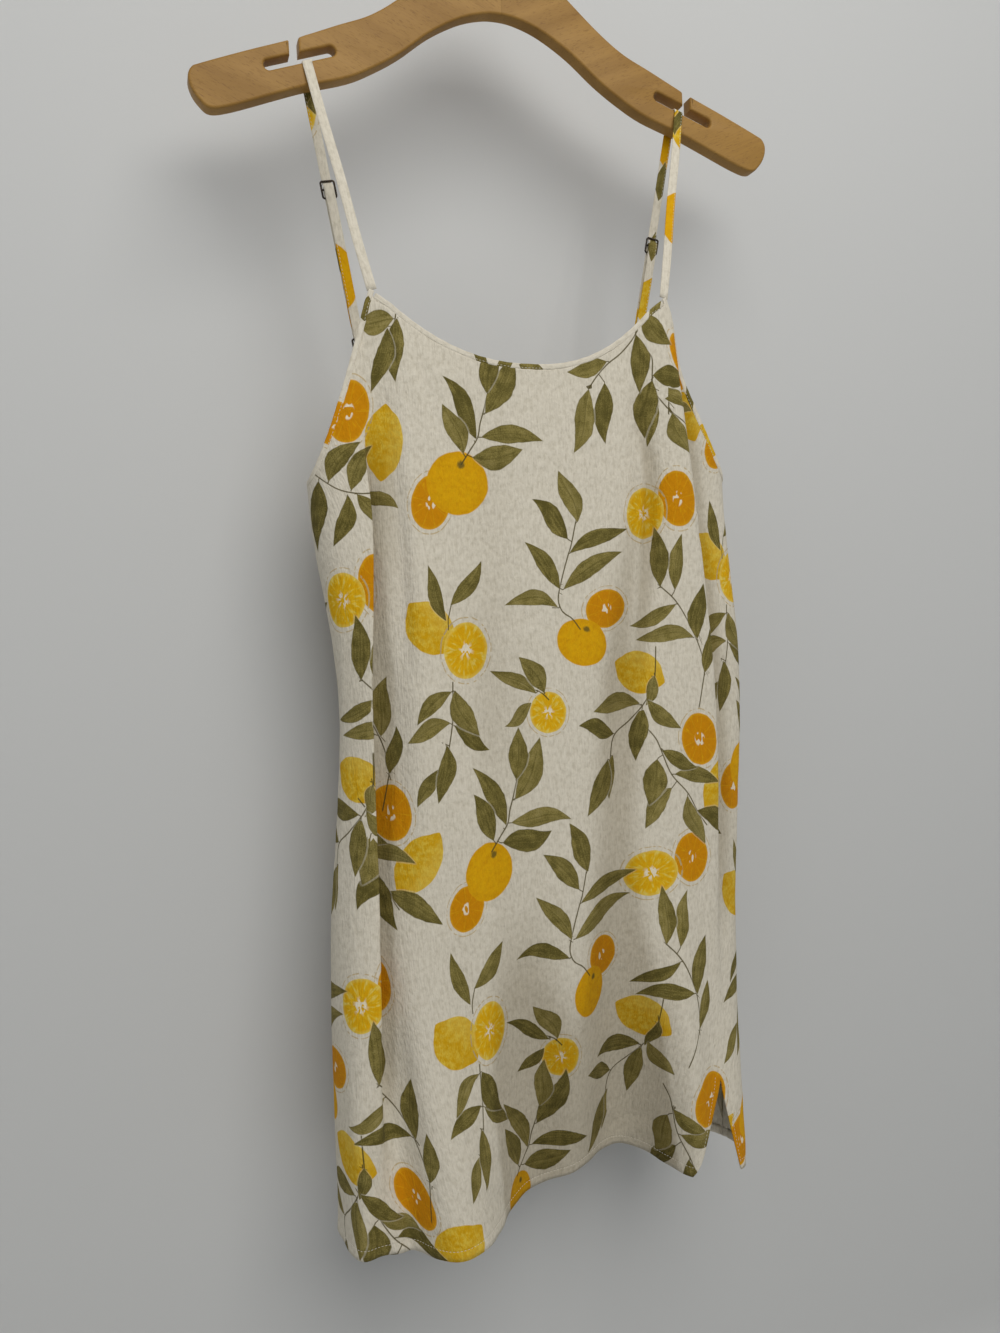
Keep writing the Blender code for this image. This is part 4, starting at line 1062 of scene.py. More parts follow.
backCreases = [
    ((-104, 396), (-96, 500), 4, 0.8), ((104, 396), (98, 500), 4, 0.8),
    ((-92, 402), (-64, 480), 5, -0.6), ((92, 402), (66, 490), 5, 0.5),
    ((-30, 560), (10, 574), 4, 0.4), ((-6, 600), (34, 588), 4, -0.35),
    ((150, 560), (160, 660), 5, 0.6), ((-160, 600), (-152, 720), 5, -0.6),
    ((-80, 950), (-40, 966), 4, 0.6), ((20, 968), (72, 956), 4, 0.6),
    ((60, 700), (70, 800), 6, 0.35), ((-48, 720), (-58, 840), 6, -0.35),
]
# a sharp edge, left over right
frontPleat = [(86, 430), (91, 467), (86, 527), (78, 590), (74, 640)]


def relief(places, creases):
    # a hung cloth's slight waves, and the creases, in metres along the surface's normal
    s, t = places[..., 0], places[..., 1]
    height = 0.25 * np.sin(s / 17 + 1.3 * np.sin(t / 71)) * smoothStep((t - 380) / 90)
    height = height + 0.16 * np.sin(s / 7.3 + t / 190 + 0.8) + 0.12 * np.sin(t / 13 + s / 29)
    height = height + 0.10 * np.sin(t / 5.1 + 2.0 * np.sin(s / 21)) * np.sin(s / 11 + 0.5)
    for begin, end, half, rise in creases:
        d = np.array(end, float) - begin
        u = ((s - begin[0]) * d[0] + (t - begin[1]) * d[1]) / (d @ d)
        along = np.clip(u, 0, 1)
        gap2 = (s - begin[0] - along * d[0]) ** 2 + (t - begin[1] - along * d[1]) ** 2
        fade = np.clip(1 - (2 * np.abs(along - 0.5)) ** 3, 0, 1) * 0.75 + 0.25
        height = height + rise * np.exp(-gap2 / half**2) * fade
    if creases is frontCreases:
        line = np.array(frontPleat, float)
        away = (s - np.interp(t, line[:, 1], line[:, 0])) / 2.6
        fade = smoothStep((t - line[0, 1]) / 25) * smoothStep((line[-1, 1] - t) / 60)
        height = height - 2.3 * away * np.exp((1 - away * away / 3) / 2) * fade / 1.7
    return height * mm


def hollowShadeAt(angles, z, places, creases):
    # how far the cloth stands in front of its even shape, or behind it below 0, in millimetres,
    # which sets the painted shade in its hollows
    depth = relief(places, creases) / mm
    across = np.sin(np.radians(angles))
    x = halfWidth(across, z) * across
    isFront = creases is frontCreases
    for place, forward, width in (frontFolds if isFront else backFolds).values():
        t = (x - atLevel(place, z)) / atLevel(width, z)
        depth = depth + atLevel(forward, z) / mm * np.exp(-t * t)
    # beside each lap the lower layer is counted deeper still, so that painted shade falls there as
    # under the lap's edge
    for place, lap, step in laps.values() if isFront else ():
        t = (x - atLevel(place, z)) / lapHalfWidth
        shut = np.clip(atLevel(lap, z) / lapHalfWidth, 0, 1)
        depth = depth - 9 * shut * np.exp(-((t - 1.3) / 1.1) ** 2)
    return depth


def panelPiece(name, node, top, lines, anchors, rows, hem, arc, creases, motifs, column=None):
    angles, heights = panelGrid(top, lines, anchors, rows, hem, column)
    places = clothPlace(arc, angles, heights)
    place = dressPoint(angles, heights) + outward(angles, heights) * relief(
        places, creases)[..., None]
    below = (heights[-1:] - heights) / -mm
    s = places[..., 0]
    ruffle = 0.9 * np.sin(s / 8.5 + 1.4 * np.sin(s / 31)) + 0.35 * np.sin(s / 3.9)
    place = place + outward(angles, heights) * (ruffle * np.exp(-below / 13) * mm)[..., None]
    place[..., 2] += 0.9 * mm * np.sin(s / 10.3 + 2 * np.sin(s / 37)) * np.exp(-below / 20)
    edgeGap = np.array(below)
    keep = None
    if column is not None:
        open_ = heights[1:, column] < edges["slitTopZ"]
        keep = np.ones((len(angles) - 1, angles.shape[1] - 1), bool)
        keep[:, column] = ~open_
        slitRows = heights < edges["slitTopZ"] + 3 * mm
        for at in (column, column + 1):
            toSlit = np.abs(places[..., 0] - places[:, at:at + 1, 0])
            edgeGap = np.where(slitRows, np.minimum(edgeGap, toSlit + 2.0), edgeGap)
    mesh = gridMesh(name, place, keep)
    # the depth that sets the painted shade in the cloth's hollows
    keepValues(mesh, "hollow", "FLOAT", "POINT", hollowShadeAt(angles, heights, places, creases))
    flat = places.reshape(-1, 2)
    keepCloth(mesh, flat, edgeGap.reshape(-1))
    stampPrint(mesh, flat, motifs)
    obj = solidSheet(newPiece(name, mesh, printedCotton, cottonReverse), panel["thickness"])
    return declare(obj, node), (angles, heights, place)


def makePanels():
    half = edges["strapWidth"] / 2
    left, neck, right = frontStations()
    tips = [tip(angleAt(edges["apexMiddle"][side], edges["apexZ"][side]),
                edges["apexZ"][side] - 4 * mm) for side in (-1, 1)]
    inset = panel["inset"]
    top = joinStations(inward(left, inset), tips[0], inward(neck, inset), tips[1],
                       inward(right, inset))
    seam = plan["seamAngle"] - plan["seamGap"]
    top[0][0], top[0][-1] = -seam, seam
    last = len(top[0]) - 1
    anchors = [0, 9, 18, 45] + [panel["neck"] + k for k in (45, 66, 78)] + [last]
    motifs = motifsOf(bunchPlaces())
    front, frontGrid = panelPiece("frontPanel", "front", top, frontLines, anchors,
                                  panel["rows"], hemZ, frontArc, frontCreases, motifs,
                                  panel["slitColumn"])
    right, neck, left = backStations()
    tips = [tip(backAngle(side * edges["backApex"]) % 360, edges["backApexZ"] - 4 * mm)
            for side in (1, -1)]
    top = joinStations(inward(right, inset), tips[0], inward(neck, inset), tips[1],
                       inward(left, inset))
    seam = plan["seamAngle"] + plan["seamGap"]
    top[0][0], top[0][-1] = seam, 360 - seam
    last = len(top[0]) - 1
    halfway = panel["backArmhole"] // 2
    anchors = [0, halfway, last - halfway, last]
    back, backGrid = panelPiece("backPanel", "back", top, backLines, anchors,
                                panel["backRows"], lambda a: np.full(len(a), edges["hemZ"]),
                                backArc, backCreases, motifsOf(bunchPlaces(repeat["backShift"])))
    return front, frontGrid, back, backGrid


frontPanel, frontGrid, backPanel, backGrid = makePanels()
print("panels hang")


# bands: a soft-edged section carried along a path
def sweep(name, path, across, section, closed=False):
    # section points are (across, outwards), in metres
    path, across, section = (np.asarray(v, float) for v in (path, across, section))
    if closed:
        tangent = np.roll(path, -1, axis=0) - np.roll(path, 1, axis=0)
    else:
        tangent = np.gradient(path, axis=0)
    tangent = unit(tangent)
    across = unit(across - (across * tangent).sum(axis=1, keepdims=True) * tangent)
    normal = np.cross(tangent, across)
    rings = (path[:, None] + section[None, :, :1] * across[:, None]
             + section[None, :, 1:] * normal[:, None])
    n, m = rings.shape[:2]
    index = np.arange(n * m).reshape(n, m)
    nextRing = np.roll(index, -1, axis=0) if closed else index[1:]
    thisRing = index if closed else index[:-1]
    quads = np.stack([thisRing, np.roll(thisRing, -1, axis=1), np.roll(nextRing, -1, axis=1),
                      nextRing], axis=-1).reshape(-1, 4).tolist()
    if not closed:
        quads += [index[0, ::-1].tolist(), index[-1].tolist()]
    mesh = bpy.data.meshes.new(name)
    mesh.from_pydata(rings.reshape(-1, 3).tolist(), [], quads)
    shell = bmesh.new()
    shell.from_mesh(mesh)
    bmesh.ops.recalc_face_normals(shell, faces=shell.faces)
    shell.to_mesh(mesh)
    shell.free()
    places = np.stack([np.tile(section[:, 0], n), np.repeat(runOf(path), m)], axis=1)
    return mesh, places / mm


def bandSection(width, thick, crown=0.12):
    half, edge = width / 2, thick / 2
    top = [(-half, 0), (-half + 0.12 * edge, edge * 0.55), (-half + edge * 0.6, edge * 0.95),
           (-half * 0.45, edge * (1 + crown)), (0, edge * (1 + crown)),
           (half * 0.45, edge * (1 + crown)), (half - edge * 0.6, edge * 0.95),
           (half - 0.12 * edge, edge * 0.55), (half, 0)]
    return top + [(x, -y) for x, y in top[-2:0:-1]]


bindingLook = {"thick": 1.2 * mm, "width": 4.0 * mm, "wave": 0.08 * mm}
noHem = 50.0  # millimetres from any hemmed edge
# print on the bands, in the band's own millimetres, across and along: leaves, then fruit
bandPrint = {
    "neckBinding": ([((2, 78), (-3, 92), 10, 0), ((-2, 96), (2, 108), 8, 0),
                     ((1, 112), (-3, 132), 11, 0), ((-2, 226), (3, 246), 9, 0)], []),
    "backNeckBinding": ([((2, 40), (-2, 66), 10, 0), ((-2, 150), (3, 176), 9, 0)],
                        [("yellowSlice", (2, 112), (12, 14), 0)]),
    "armholeBindingLeft": ([((2, 60), (-2, 80), 10, 0), ((-1, 232), (1, 250), 12, 0)],
                           [("orangeSlice", (0, 160), (13, 15), 0)]),
    "armholeBindingRight": ([((2, 66), (-2, 88), 10, 0), ((-1, 150), (1, 168), 12, 0)],
                            [("lemon", (0, 112), (14, 15), 90)]),
}


def bandPiece(name, node, path, across, section, charted=((), ()), start=0.0):
    mesh, places = sweep(name, path, across, section)
    keepCloth(mesh, places, np.full(len(places), noHem))
    shift = np.array((0.0, start))
    leaves = [(shift + base, shift + tip, width, bend, 0.31 * k % 1)
              for k, (base, tip, width, bend) in enumerate(charted[0])]
    fruit = [(kind, shift + at, half, turn, 0.4) for kind, at, half, turn in charted[1]]
    stampPrint(mesh, places, (leaves, fruit, [], []))
    return declare(newPiece(name, mesh, bandCotton), node)


def bindingRails(stations, outerEnds, innerEnds, count):
    # the outer edge and the inner edge of a binding, as dense lines
    rails = []
    for line, ends in ((stations, outerEnds), (inward(stations, edges["bindingWidth"]),
                                               innerEnds)):
        angle = np.concatenate([[ends[0][0]], line[0], [ends[1][0]]])
        z = np.concatenate([[ends[0][1]], line[1], [ends[1][1]]])
        points = smoothLine(dressPoint(angle, z), 3)
        run = runOf(points)
        at = np.linspace(0, run[-1], count)
        rails.append(np.stack([np.interp(at, run, points[:, k]) for k in range(3)], axis=1))
    return rails


def makeBindings():
    half, gap = edges["strapWidth"] / 2, 0.3 * mm
    section = bandSection(bindingLook["width"], bindingLook["thick"])
    left, neck, right = frontStations()
    backRight, backNeck, backLeft = backStations()
    made, plans = {}, []
    apex, top = edges["apexMiddle"], edges["apexZ"]
    outer = [(float(angleAt(apex[s] - s * (half - gap), top[s])), top[s] - gap) for s in (-1, 1)]
    inner = [(float(angleAt(apex[s] - s * (half - 3.6 * mm), top[s])), top[s] - 7 * mm)
             for s in (-1, 1)]
    plans.append(("neckBinding", "neck_binding", neck, outer, inner, 160))
    backTop = edges["backApexZ"]
    outer = [(backAngle(s * (edges["backApex"] - half + gap)) % 360, backTop - gap)
             for s in (1, -1)]
    inner = [(backAngle(s * (edges["backApex"] - half + 3.6 * mm)) % 360, backTop - 7 * mm)
             for s in (1, -1)]
    plans.append(("backNeckBinding", "back_neck_binding", backNeck, outer, inner, 140))
    for side, name, node, fore, aft in (
            (-1, "armholeBindingLeft", "armhole_binding_left", left, backLeft),
            (1, "armholeBindingRight", "armhole_binding_right", right, backRight)):
        first, last = ((aft[0] - 360, aft[1]), fore) if side < 0 else (fore, aft)
        line = [np.concatenate([first[k][:-1], last[k][1:]]) for k in (0, 1)]
        front = [(float(angleAt(apex[side] + side * r, top[side])), top[side])
                 for r in (half, gap - half)]
        rear = [(backAngle(side * (edges["backApex"] + r)), backTop) for r in (half, gap - half)]
        pairs = [(rear[k], front[k]) if side < 0 else (front[k], rear[k]) for k in (0, 1)]
        plans.append((name, node, line, pairs[0], pairs[1], 220))
    for name, node, stations, outerEnds, innerEnds, count in plans:
        rails = bindingRails(stations, outerEnds, innerEnds, count)
        middle = (rails[0] + rails[1]) / 2
        wave = bindingLook["wave"] * np.sin(np.arange(count) * 0.9)
        across = unit(rails[0] - rails[1])
        made[name] = bandPiece(name, node, middle + across * wave[:, None], across, section,
                               bandPrint[name])
        made[name + "Rails"] = rails
    return made


bindings = makeBindings()
print("edges are bound")

# hanger, from its contour
wood = {
    "halfDepth": 6 * mm, "rounding": 1.8 * mm, "glueLine": 0.5 * mm, "glueGap": 0.1 * mm,
    "top": ((0, -79), (12, -80), (25, -86), (45, -102), (75, -127), (97, -142), (120, -152),
            (150, -165), (183, -177.5), (213, -189.5)),
    "end": ((219.5, -193), (222, -199), (220.5, -206.5), (216, -213.5)),
    "low": ((209, -218.5), (195, -215.5), (165, -204), (145, -196.5), (115, -187), (95, -177),
            (76, -165), (54, -148), (32, -135.5), (14, -129.5), (0, -128)),
    "notch": (143 * mm, -180 * mm), "slope": math.radians(19), "slotHeight": 6.8 * mm,
    "slotInner": 122 * mm, "slotOuter": 171 * mm, "lip": (148 * mm, 154.5 * mm),
    "pale": (0.40, 0.222, 0.054), "deep": (0.30, 0.158, 0.034), "line": (0.27, 0.135, 0.042),
    "fleck": (0.17, 0.078, 0.024),
    "grain": {"Left": (-0.42, (0.31, 0.2, 0.07)), "Right": (0.42, (0, 0, 0))},
}


def slotPoint(along, up):
    cos, sin = math.cos(wood["slope"]), math.sin(wood["slope"])
    return (wood["notch"][0] + along * cos + up * sin, wood["notch"][1] - along * sin + up * cos)


def armContour():
    # the contour's corners are rounded off by a curve through its points
    mirroredTop = [(-x, z) for x, z in wood["top"][2:0:-1]]
    whole = list(wood["top"]) + list(wood["end"]) + list(wood["low"])
    tail = [(-x, z) for x, z in wood["low"][-2:-4:-1]]
    line = smoothLine(np.array(mirroredTop + whole + tail, float) * mm, 5)
    line = line[len(mirroredTop) * 5: (len(mirroredTop) + len(whole) - 1) * 5 + 1]
    highest = np.argmax(line[:, 0])
    top, rest = line[:highest], line[highest:]
    cos, lean = math.cos(wood["slope"]), wood["slotHeight"] * math.sin(wood["slope"])
    radius = wood["slotHeight"] / 2
    inner = (wood["slotInner"] - wood["notch"][0]) / cos + radius
    outer = (wood["slotOuter"] - wood["notch"][0]) / cos - radius
    points = [p for p in top if p[0] < wood["lip"][0] - 1.2 * mm]
    height = [float(np.interp(x, top[:, 0], top[:, 1])) for x in wood["lip"]]
    points += [(wood["lip"][0] - 0.9 * mm, height[0] + 0.1 * mm),
               (wood["lip"][0], height[0] - 0.9 * mm)]
    points.append(slotPoint((wood["lip"][0] - wood["notch"][0] - lean) / cos, wood["slotHeight"]))
    for middle, begin in ((inner, 90), (outer, -90)):
        for step in range(13):
            turn = math.radians(begin + 15 * step)
            points.append(slotPoint(middle + radius * math.cos(turn),
                                    radius + radius * math.sin(turn)))
    points.append(slotPoint((wood["lip"][1] - wood["notch"][0] - lean) / cos, wood["slotHeight"]))
    points += [(wood["lip"][1], height[1] - 0.9 * mm),
               (wood["lip"][1] + 0.9 * mm, height[1] - 0.3 * mm)]
    points += [p for p in top if p[0] > wood["lip"][1] + 1.2 * mm]
    return [tuple(float(v) for v in p) for p in points] + [tuple(map(float, p)) for p in rest]


def grainGroup():
    # fine beech: faint bands, short dark flecks, and pores, all along one direction
    given, result = newGroup("beechGrain", {"Along": None}, ("Colour", "Height", "Gloss"))
    along = given["Along"]
    bands = noise(scaled(along, (3.0, 14.0, 34.0)), 1.2, 3.0, 0.55, 0.4)
    lines = noise(scaled(along, (14.0, 200.0, 560.0)), 1.6, 3.0, 0.6, 0.2)
    flecks = soft(noise(scaled(along, (260.0, 900.0, 1900.0)), 1.0, 1.0, 0.5), 0.60, 0.72)
    colour = mix(soft(bands, 0.3, 0.72), wood["pale"], wood["deep"])
    colour = mix(soft(lines, 0.42, 0.75) * 0.30, colour, wood["line"])
    colour = mix(flecks * 0.45, colour, wood["fleck"])
    return send(result, Colour=colour, Height=lines * 0.4 - flecks * 0.8,
                Gloss=bands * 0.18 + 0.42)


grainTree = grainGroup()


def beechFinish(name, turn, shift):
    made, tree, shader = finish(name, Coat_Weight=0.1, Coat_Roughness=0.3,
                                Specular_IOR_Level=0.2)
    grain = useGroup(grainTree, Along=scaled(objectPlace(tree), (1, 1, 1), (0, turn, 0), shift))
    send(shader, Base_Color=grain["Colour"], Roughness=grain["Gloss"],
         Normal=bump(grain["Height"], 0.12 * mm, 0.6))
    return made


def makeHanger():
    curve = bpy.data.curves.new("plank", "CURVE")
    curve.dimensions = "2D"
    curve.fill_mode = "BOTH"
    curve.extrude = wood["halfDepth"] - wood["rounding"]
    curve.bevel_depth = wood["rounding"]
    curve.bevel_resolution = 3
    curve.offset = -wood["rounding"]
    right = armContour()
    contour = right + [(-x, z) for x, z in right[-2:0:-1]]
    spline = curve.splines.new("POLY")
    spline.points.add(len(contour) - 1)
    for point, (x, y) in zip(spline.points, contour):
        point.co = (x, y, 0, 1)
    spline.use_cyclic_u = True
    plank = bpy.data.objects.new("plank", curve)
    bpy.context.scene.collection.objects.link(plank)
    solid = bpy.data.meshes.new_from_object(
        plank.evaluated_get(bpy.context.evaluated_depsgraph_get()))
    bpy.data.objects.remove(plank)
    solid.transform(Matrix.Rotation(math.radians(90), 4, "X"))
    for side, word in sides:
        shell = bmesh.new()
        shell.from_mesh(solid)
        bmesh.ops.remove_doubles(shell, verts=shell.verts, dist=0.01 * mm)
        edge = wood["glueLine"] + side * wood["glueGap"] / 2
        cut = bmesh.ops.bisect_plane(shell, geom=shell.verts[:] + shell.edges[:] + shell.faces[:],
                                     plane_co=(edge, 0, 0), plane_no=(-side, 0, 0),
                                     clear_outer=True)
        rim = [e for e in cut["geom_cut"] if isinstance(e, bmesh.types.BMEdge)]
        bmesh.ops.triangle_fill(shell, edges=rim, use_beauty=True)
        bmesh.ops.recalc_face_normals(shell, faces=shell.faces)
        mesh = bpy.data.meshes.new("beechArm" + word)
        shell.to_mesh(mesh)
        shell.free()
        beech = beechFinish("varnishedBeech" + word, *wood["grain"][word])
        arm = newPiece("beechArm" + word, mesh, beech)
        mesh.set_sharp_from_angle(angle=math.radians(35))
        declare(arm, "hanger_arm_" + word.lower())


makeHanger()

hookLook = {"wire": 1.9 * mm, "innerRadius": 17 * mm, "bendZ": -52 * mm, "foot": -78.7 * mm}


def steelFinish():
    made, tree, shader = finish("brushedSteel", 0.3, 1.0)
    place = objectPlace(tree)
    scratches = noise(scaled(place, (900, 900, 60)), 1.0, 2.0, 0.6)
    dull = noise(place, 90.0, 3.0, 0.6)
    send(shader, Base_Color=mix(dull, (0.50, 0.50, 0.49), (0.66, 0.66, 0.65)),
         Roughness=scratches * 0.2 + 0.22, Normal=bump(scratches, 0.02 * mm, 0.5))
    return made


def roundSection(radius, sides=14):
    turns = np.linspace(0, 2 * math.pi, sides, endpoint=False)
    return np.stack([radius * np.cos(turns), radius * np.sin(turns)], axis=1)


def makeHook():
    middle, radius = -hookLook["innerRadius"], hookLook["innerRadius"] + hookLook["wire"]
    turn = math.radians(-62)
    start = np.array((0, hookLook["bendZ"]))
    leave = np.array((radius * math.cos(turn), middle + radius * math.sin(turn)))
    heading = np.array((-math.sin(turn), math.cos(turn)))
    points = [(0, hookLook["foot"]), (0, -70 * mm), (0, -60 * mm), tuple(start)]
    pull = 17 * mm
    for step in range(1, 14):
        t = step / 14
        near, far = start + np.array((0, pull)) * t, leave - heading * pull * (1 - t)
        points.append(tuple(near + (far - near) * smoothStep(t)))
    for step in range(49):
        turn = math.radians(-62 + 262 * step / 48)
        points.append((radius * math.cos(turn), middle + radius * math.sin(turn)))
    path = np.array([(x, 0, z) for x, z in points])
    across = np.tile((0.0, 1.0, 0.0), (len(path), 1))
    mesh, _ = sweep("wireHook", path, across, roundSection(hookLook["wire"]))
    declare(newPiece("wireHook", mesh, steelFinish()), "hanger_hook")


makeHook()
print("hanger is cut")

# straps, with a slider and a ring behind
strapLook = {
    "width": 7 * mm, "thick": 1.0 * mm, "wire": 0.7 * mm, "barSpacing": 5.6 * mm,
    "frameHalfWidth": 4.9 * mm, "ringHalfHeight": 3.2 * mm,
    "ringPlace": (112 * mm, 22 * mm, -361 * mm), "sliderDrop": {-1: 77 * mm, 1: 97 * mm},
    "sewnEnd": 14 * mm, "gap": 0.3 * mm,
}
# print on the straps: across, then distance from the notch, to the front above 0
strapPrint = {
    -1: ([((-3, -4), (3, -30), 10, 0), ((3, -12), (-2, -36), 9, 0), ((0, -262), (2, -238), 9, 0)],
         [("yellowSlice", (10, -22), (14, 26), 0), ("whole", (11, -146), (19, 24), 0),
          ("orangeSlice", (-9, -212), (13, 26), 0)]),
    1: ([((2, 2), (-2, 30), 9, 0), ((0, -70), (1, -38), 10, 0), ((0, -120), (2, -92), 9, 0),
         ((0, -292), (1, -268), 9, 0)],
        [("lemon", (6, 20), (22, 12), 90), ("whole", (12, 100), (21, 24), 0),
         ("whole", (11, -24), (20, 22), 0), ("lemon", (5, -150), (20, 14), 90),
         ("yellowSlice", (-10, -205), (15, 26), 0)]),
}


def runAxes(down):
    down = unit(down)
    across = unit(np.array((1.0, 0.0, 0.0)) - down[0] * down)
    return across, down, np.cross(across, down)


def strapFrame(side):
    lift = strapLook["gap"] + strapLook["thick"] / 2
    start = np.array((wood["notch"][0], wood["halfDepth"] + lift, wood["notch"][1] - 1.5 * mm))
    ringTop = np.array(strapLook["ringPlace"]) + (0, 0, strapLook["ringHalfHeight"])
    return start, runAxes(ringTop - start), strapLook["sliderDrop"][side], np.linalg.norm(
        ringTop - start)


def arc(centre, radius, start, end, steps=9):
    turn = np.radians(np.linspace(start, end, steps))
    return np.stack([centre + radius * np.cos(turn), radius * np.sin(turn)], axis=1)


def strapPath(side):
    start, (across, down, back), bar, ring = strapFrame(side)
    gap, thick = strapLook["gap"], strapLook["thick"]
    wrap = strapLook["wire"] + gap + thick / 2
    outer = wrap + gap + thick
    length, flap = ring - bar, strapLook["sewnEnd"]
    cross = math.degrees(math.asin((wrap + outer) / strapLook["barSpacing"]))
    rise = np.linspace(0, 1, 12)[:, None]
    flat = np.concatenate([
        [(flap, -wrap), (flap * 0.75, -wrap), (flap * 0.5, -wrap), (flap * 0.25, -wrap)],
        arc(0, wrap, -90, -270, 13),
        [(length * share, wrap) for share in (0.15, 0.33, 0.5, 0.66, 0.85)],
        arc(length, wrap, 90, -90, 13),
        np.hstack([length - 12 * mm - (length - flap - 14 * mm) * rise,
                   -wrap - (outer - wrap) * smoothStep(rise)]),
        [(flap * 0.5, -outer)],
        arc(0, outer, -90, -90 - cross),
        arc(-strapLook["barSpacing"], wrap, 90 - cross, 90),
        [(-bar * share, wrap) for share in (0.25, 0.4, 0.55, 0.75, 0.9)]])
    origin = start + down * bar - back * wrap
    path = origin + flat[:, :1] * down + flat[:, 1:] * back
    widths = np.repeat(across[None, :], len(path), axis=0)
    slope = np.array((math.cos(wood["slope"]), 0, -math.sin(wood["slope"])))
    lift = gap + thick / 2
    rounding = 1.5 * mm
    over = []
    for turn in np.radians(np.linspace(0, 90, 8)):
        over.append((wood["notch"][0],
                     wood["halfDepth"] - rounding + (rounding + lift) * math.cos(turn),
                     wood["notch"][1] - rounding + (rounding + lift) * math.sin(turn)))
    over += [(wood["notch"][0], 0, wood["notch"][1] + lift)]
    over += [(x, -y, z) for x, y, z in over[-2::-1]]
    half, top = strapLook["width"] / 2, edges["apexZ"][side]
    ends = np.array([float(angleAt(side * (abs(edges["apexMiddle"][side]) + reach), top))
                     for reach in (-half, half)])
    corners = dressPoint(ends, top + 0.2 * mm) * (side, 1, 1)
    end = corners.mean(axis=0)
    last = unit(corners[1] - corners[0])
    begin = np.array(over[-1])
    share = np.linspace(0, 1, 40)[1:]
    front = begin + (end - begin) * share[:, None]
    frontAcross, _, _ = runAxes(end - begin)
    # a slight curl where the sewn edge has drawn up
    front[:, 0] += 0.5 * mm * np.sin(share * math.pi * 3) * share * (1 - share) * 3
    frontWidths = []
    for t in share:
        leave, arrive = smoothStep(t / 0.25), smoothStep((t - 0.8) / 0.2)
        width = slope * (1 - leave) + frontAcross * leave * (1 - arrive) + last * arrive
        frontWidths.append(unit(width))
    atNotch = len(path) + len(over) // 2
    path = np.concatenate([path, over, front])
    widths = np.concatenate([widths, [slope] * len(over), frontWidths])
    return path * (side, 1, 1), widths * (side, 1, 1), atNotch


def makeStraps():
    made = {}
    section = bandSection(strapLook["width"] - 0.1 * mm, strapLook["thick"] * 0.9, 0.1)
    for side, word in sides:
        path, widths, atNotch = strapPath(side)
        made["strap" + word] = bandPiece("strap" + word, "strap_" + word.lower(), path, widths,
                                         section, strapPrint[side], runOf(path)[atNotch] / mm)
        made["strap" + word + "Path"] = (path, widths)
        start, (across, down, back), _, ring = strapFrame(side)
        wrap = strapLook["wire"] + strapLook["gap"] + strapLook["thick"] / 2
        wire = start + down * (ring + 2 * strapLook["ringHalfHeight"]) - back * wrap
        half = strapLook["width"] / 2
        ends = np.array([backAngle(side * (edges["backApex"] + reach)) for reach in (-half, half)])
        ends = dressPoint(ends, edges["backApexZ"] + 0.2 * mm) * (side, 1, 1)
        foot = ends.mean(axis=0)
        _, down, back = runAxes(foot - wire)
        last = unit(ends[1] - ends[0])
        length = np.linalg.norm(foot - wire)
        apart = (strapLook["thick"] + strapLook["gap"]) / 2
        flat = np.concatenate([
            [(length, -apart), (length * 0.75, -apart), (length * 0.4, -wrap)],
            arc(0, wrap, -90, -270, 13),
            [(length * 0.4, wrap), (length * 0.75, apart), (length, apart)]])
        share = smoothStep(flat[:, :1] / length)
        tabPath = (wire + flat[:, :1] * down + flat[:, 1:] * back) * (side, 1, 1)
        tabAcross = (across * (1 - share) + last * share) * (side, 1, 1)
        made["tab" + word] = bandPiece("tab" + word, "tab_" + word.lower(), tabPath, tabAcross,
                                       section)
    return made


straps = makeStraps()


def darkMetalFinish():
    made, tree, shader = finish("darkMetal", 0.35, 1.0)
    worn = noise(objectPlace(tree), 700.0, 3.0, 0.6)
    send(shader, Roughness=worn * 0.25 + 0.28, Normal=bump(worn, 0.03 * mm, 0.4),
         Base_Color=mix(soft(worn, 0.5, 0.75), (0.045, 0.038, 0.032), (0.20, 0.15, 0.10)))
    return made


def roundedFrame(halfWidth, halfHeight, radius):
    points = []
    for sx, sy, start in ((1, 1, 0), (-1, 1, 90), (-1, -1, 180), (1, -1, 270)):
        for step in range(7):
            turn = math.radians(start + 15 * step)
            points.append((sx * (halfWidth - radius) + radius * math.cos(turn),
                           sy * (halfHeight - radius) + radius * math.sin(turn)))
    return np.array(points)


def makeMetal():
    metal = darkMetalFinish()
    for side, word in sides:
        start, (across, down, back), bar, ring = strapFrame(side)
        wrap = strapLook["wire"] + strapLook["gap"] + strapLook["thick"] / 2
        for title, depth, halfHeight in (
                ("slider", bar, strapLook["barSpacing"]),
                ("ring", ring + strapLook["ringHalfHeight"], strapLook["ringHalfHeight"])):
            middle = start + down * depth - back * wrap
            flat = roundedFrame(strapLook["frameHalfWidth"], halfHeight, 1.3 * mm)
            path = (middle + flat[:, :1] * across - flat[:, 1:] * down) * (side, 1, 1)
            normal = np.tile(back * (side, 1, 1), (len(path), 1))
            mesh, _ = sweep(title + word, path, normal, roundSection(strapLook["wire"], 10),
                            closed=True)
            if title == "slider":  # the bar that the strap's end is sewn round
                ends = np.linspace(-1, 1, 5)[:, None] * strapLook["frameHalfWidth"]
                barMesh, _ = sweep("bar", (middle + ends * across) * (side, 1, 1),
                                   np.tile(back * (side, 1, 1), (5, 1)),
                                   roundSection(strapLook["wire"] * 0.95, 10))
                joint = bmesh.new()
                joint.from_mesh(mesh)
                joint.from_mesh(barMesh)
                joint.to_mesh(mesh)
                joint.free()
            declare(newPiece(title + word, mesh, metal), title + "_" + word.lower())


makeMetal()
print("straps are threaded")

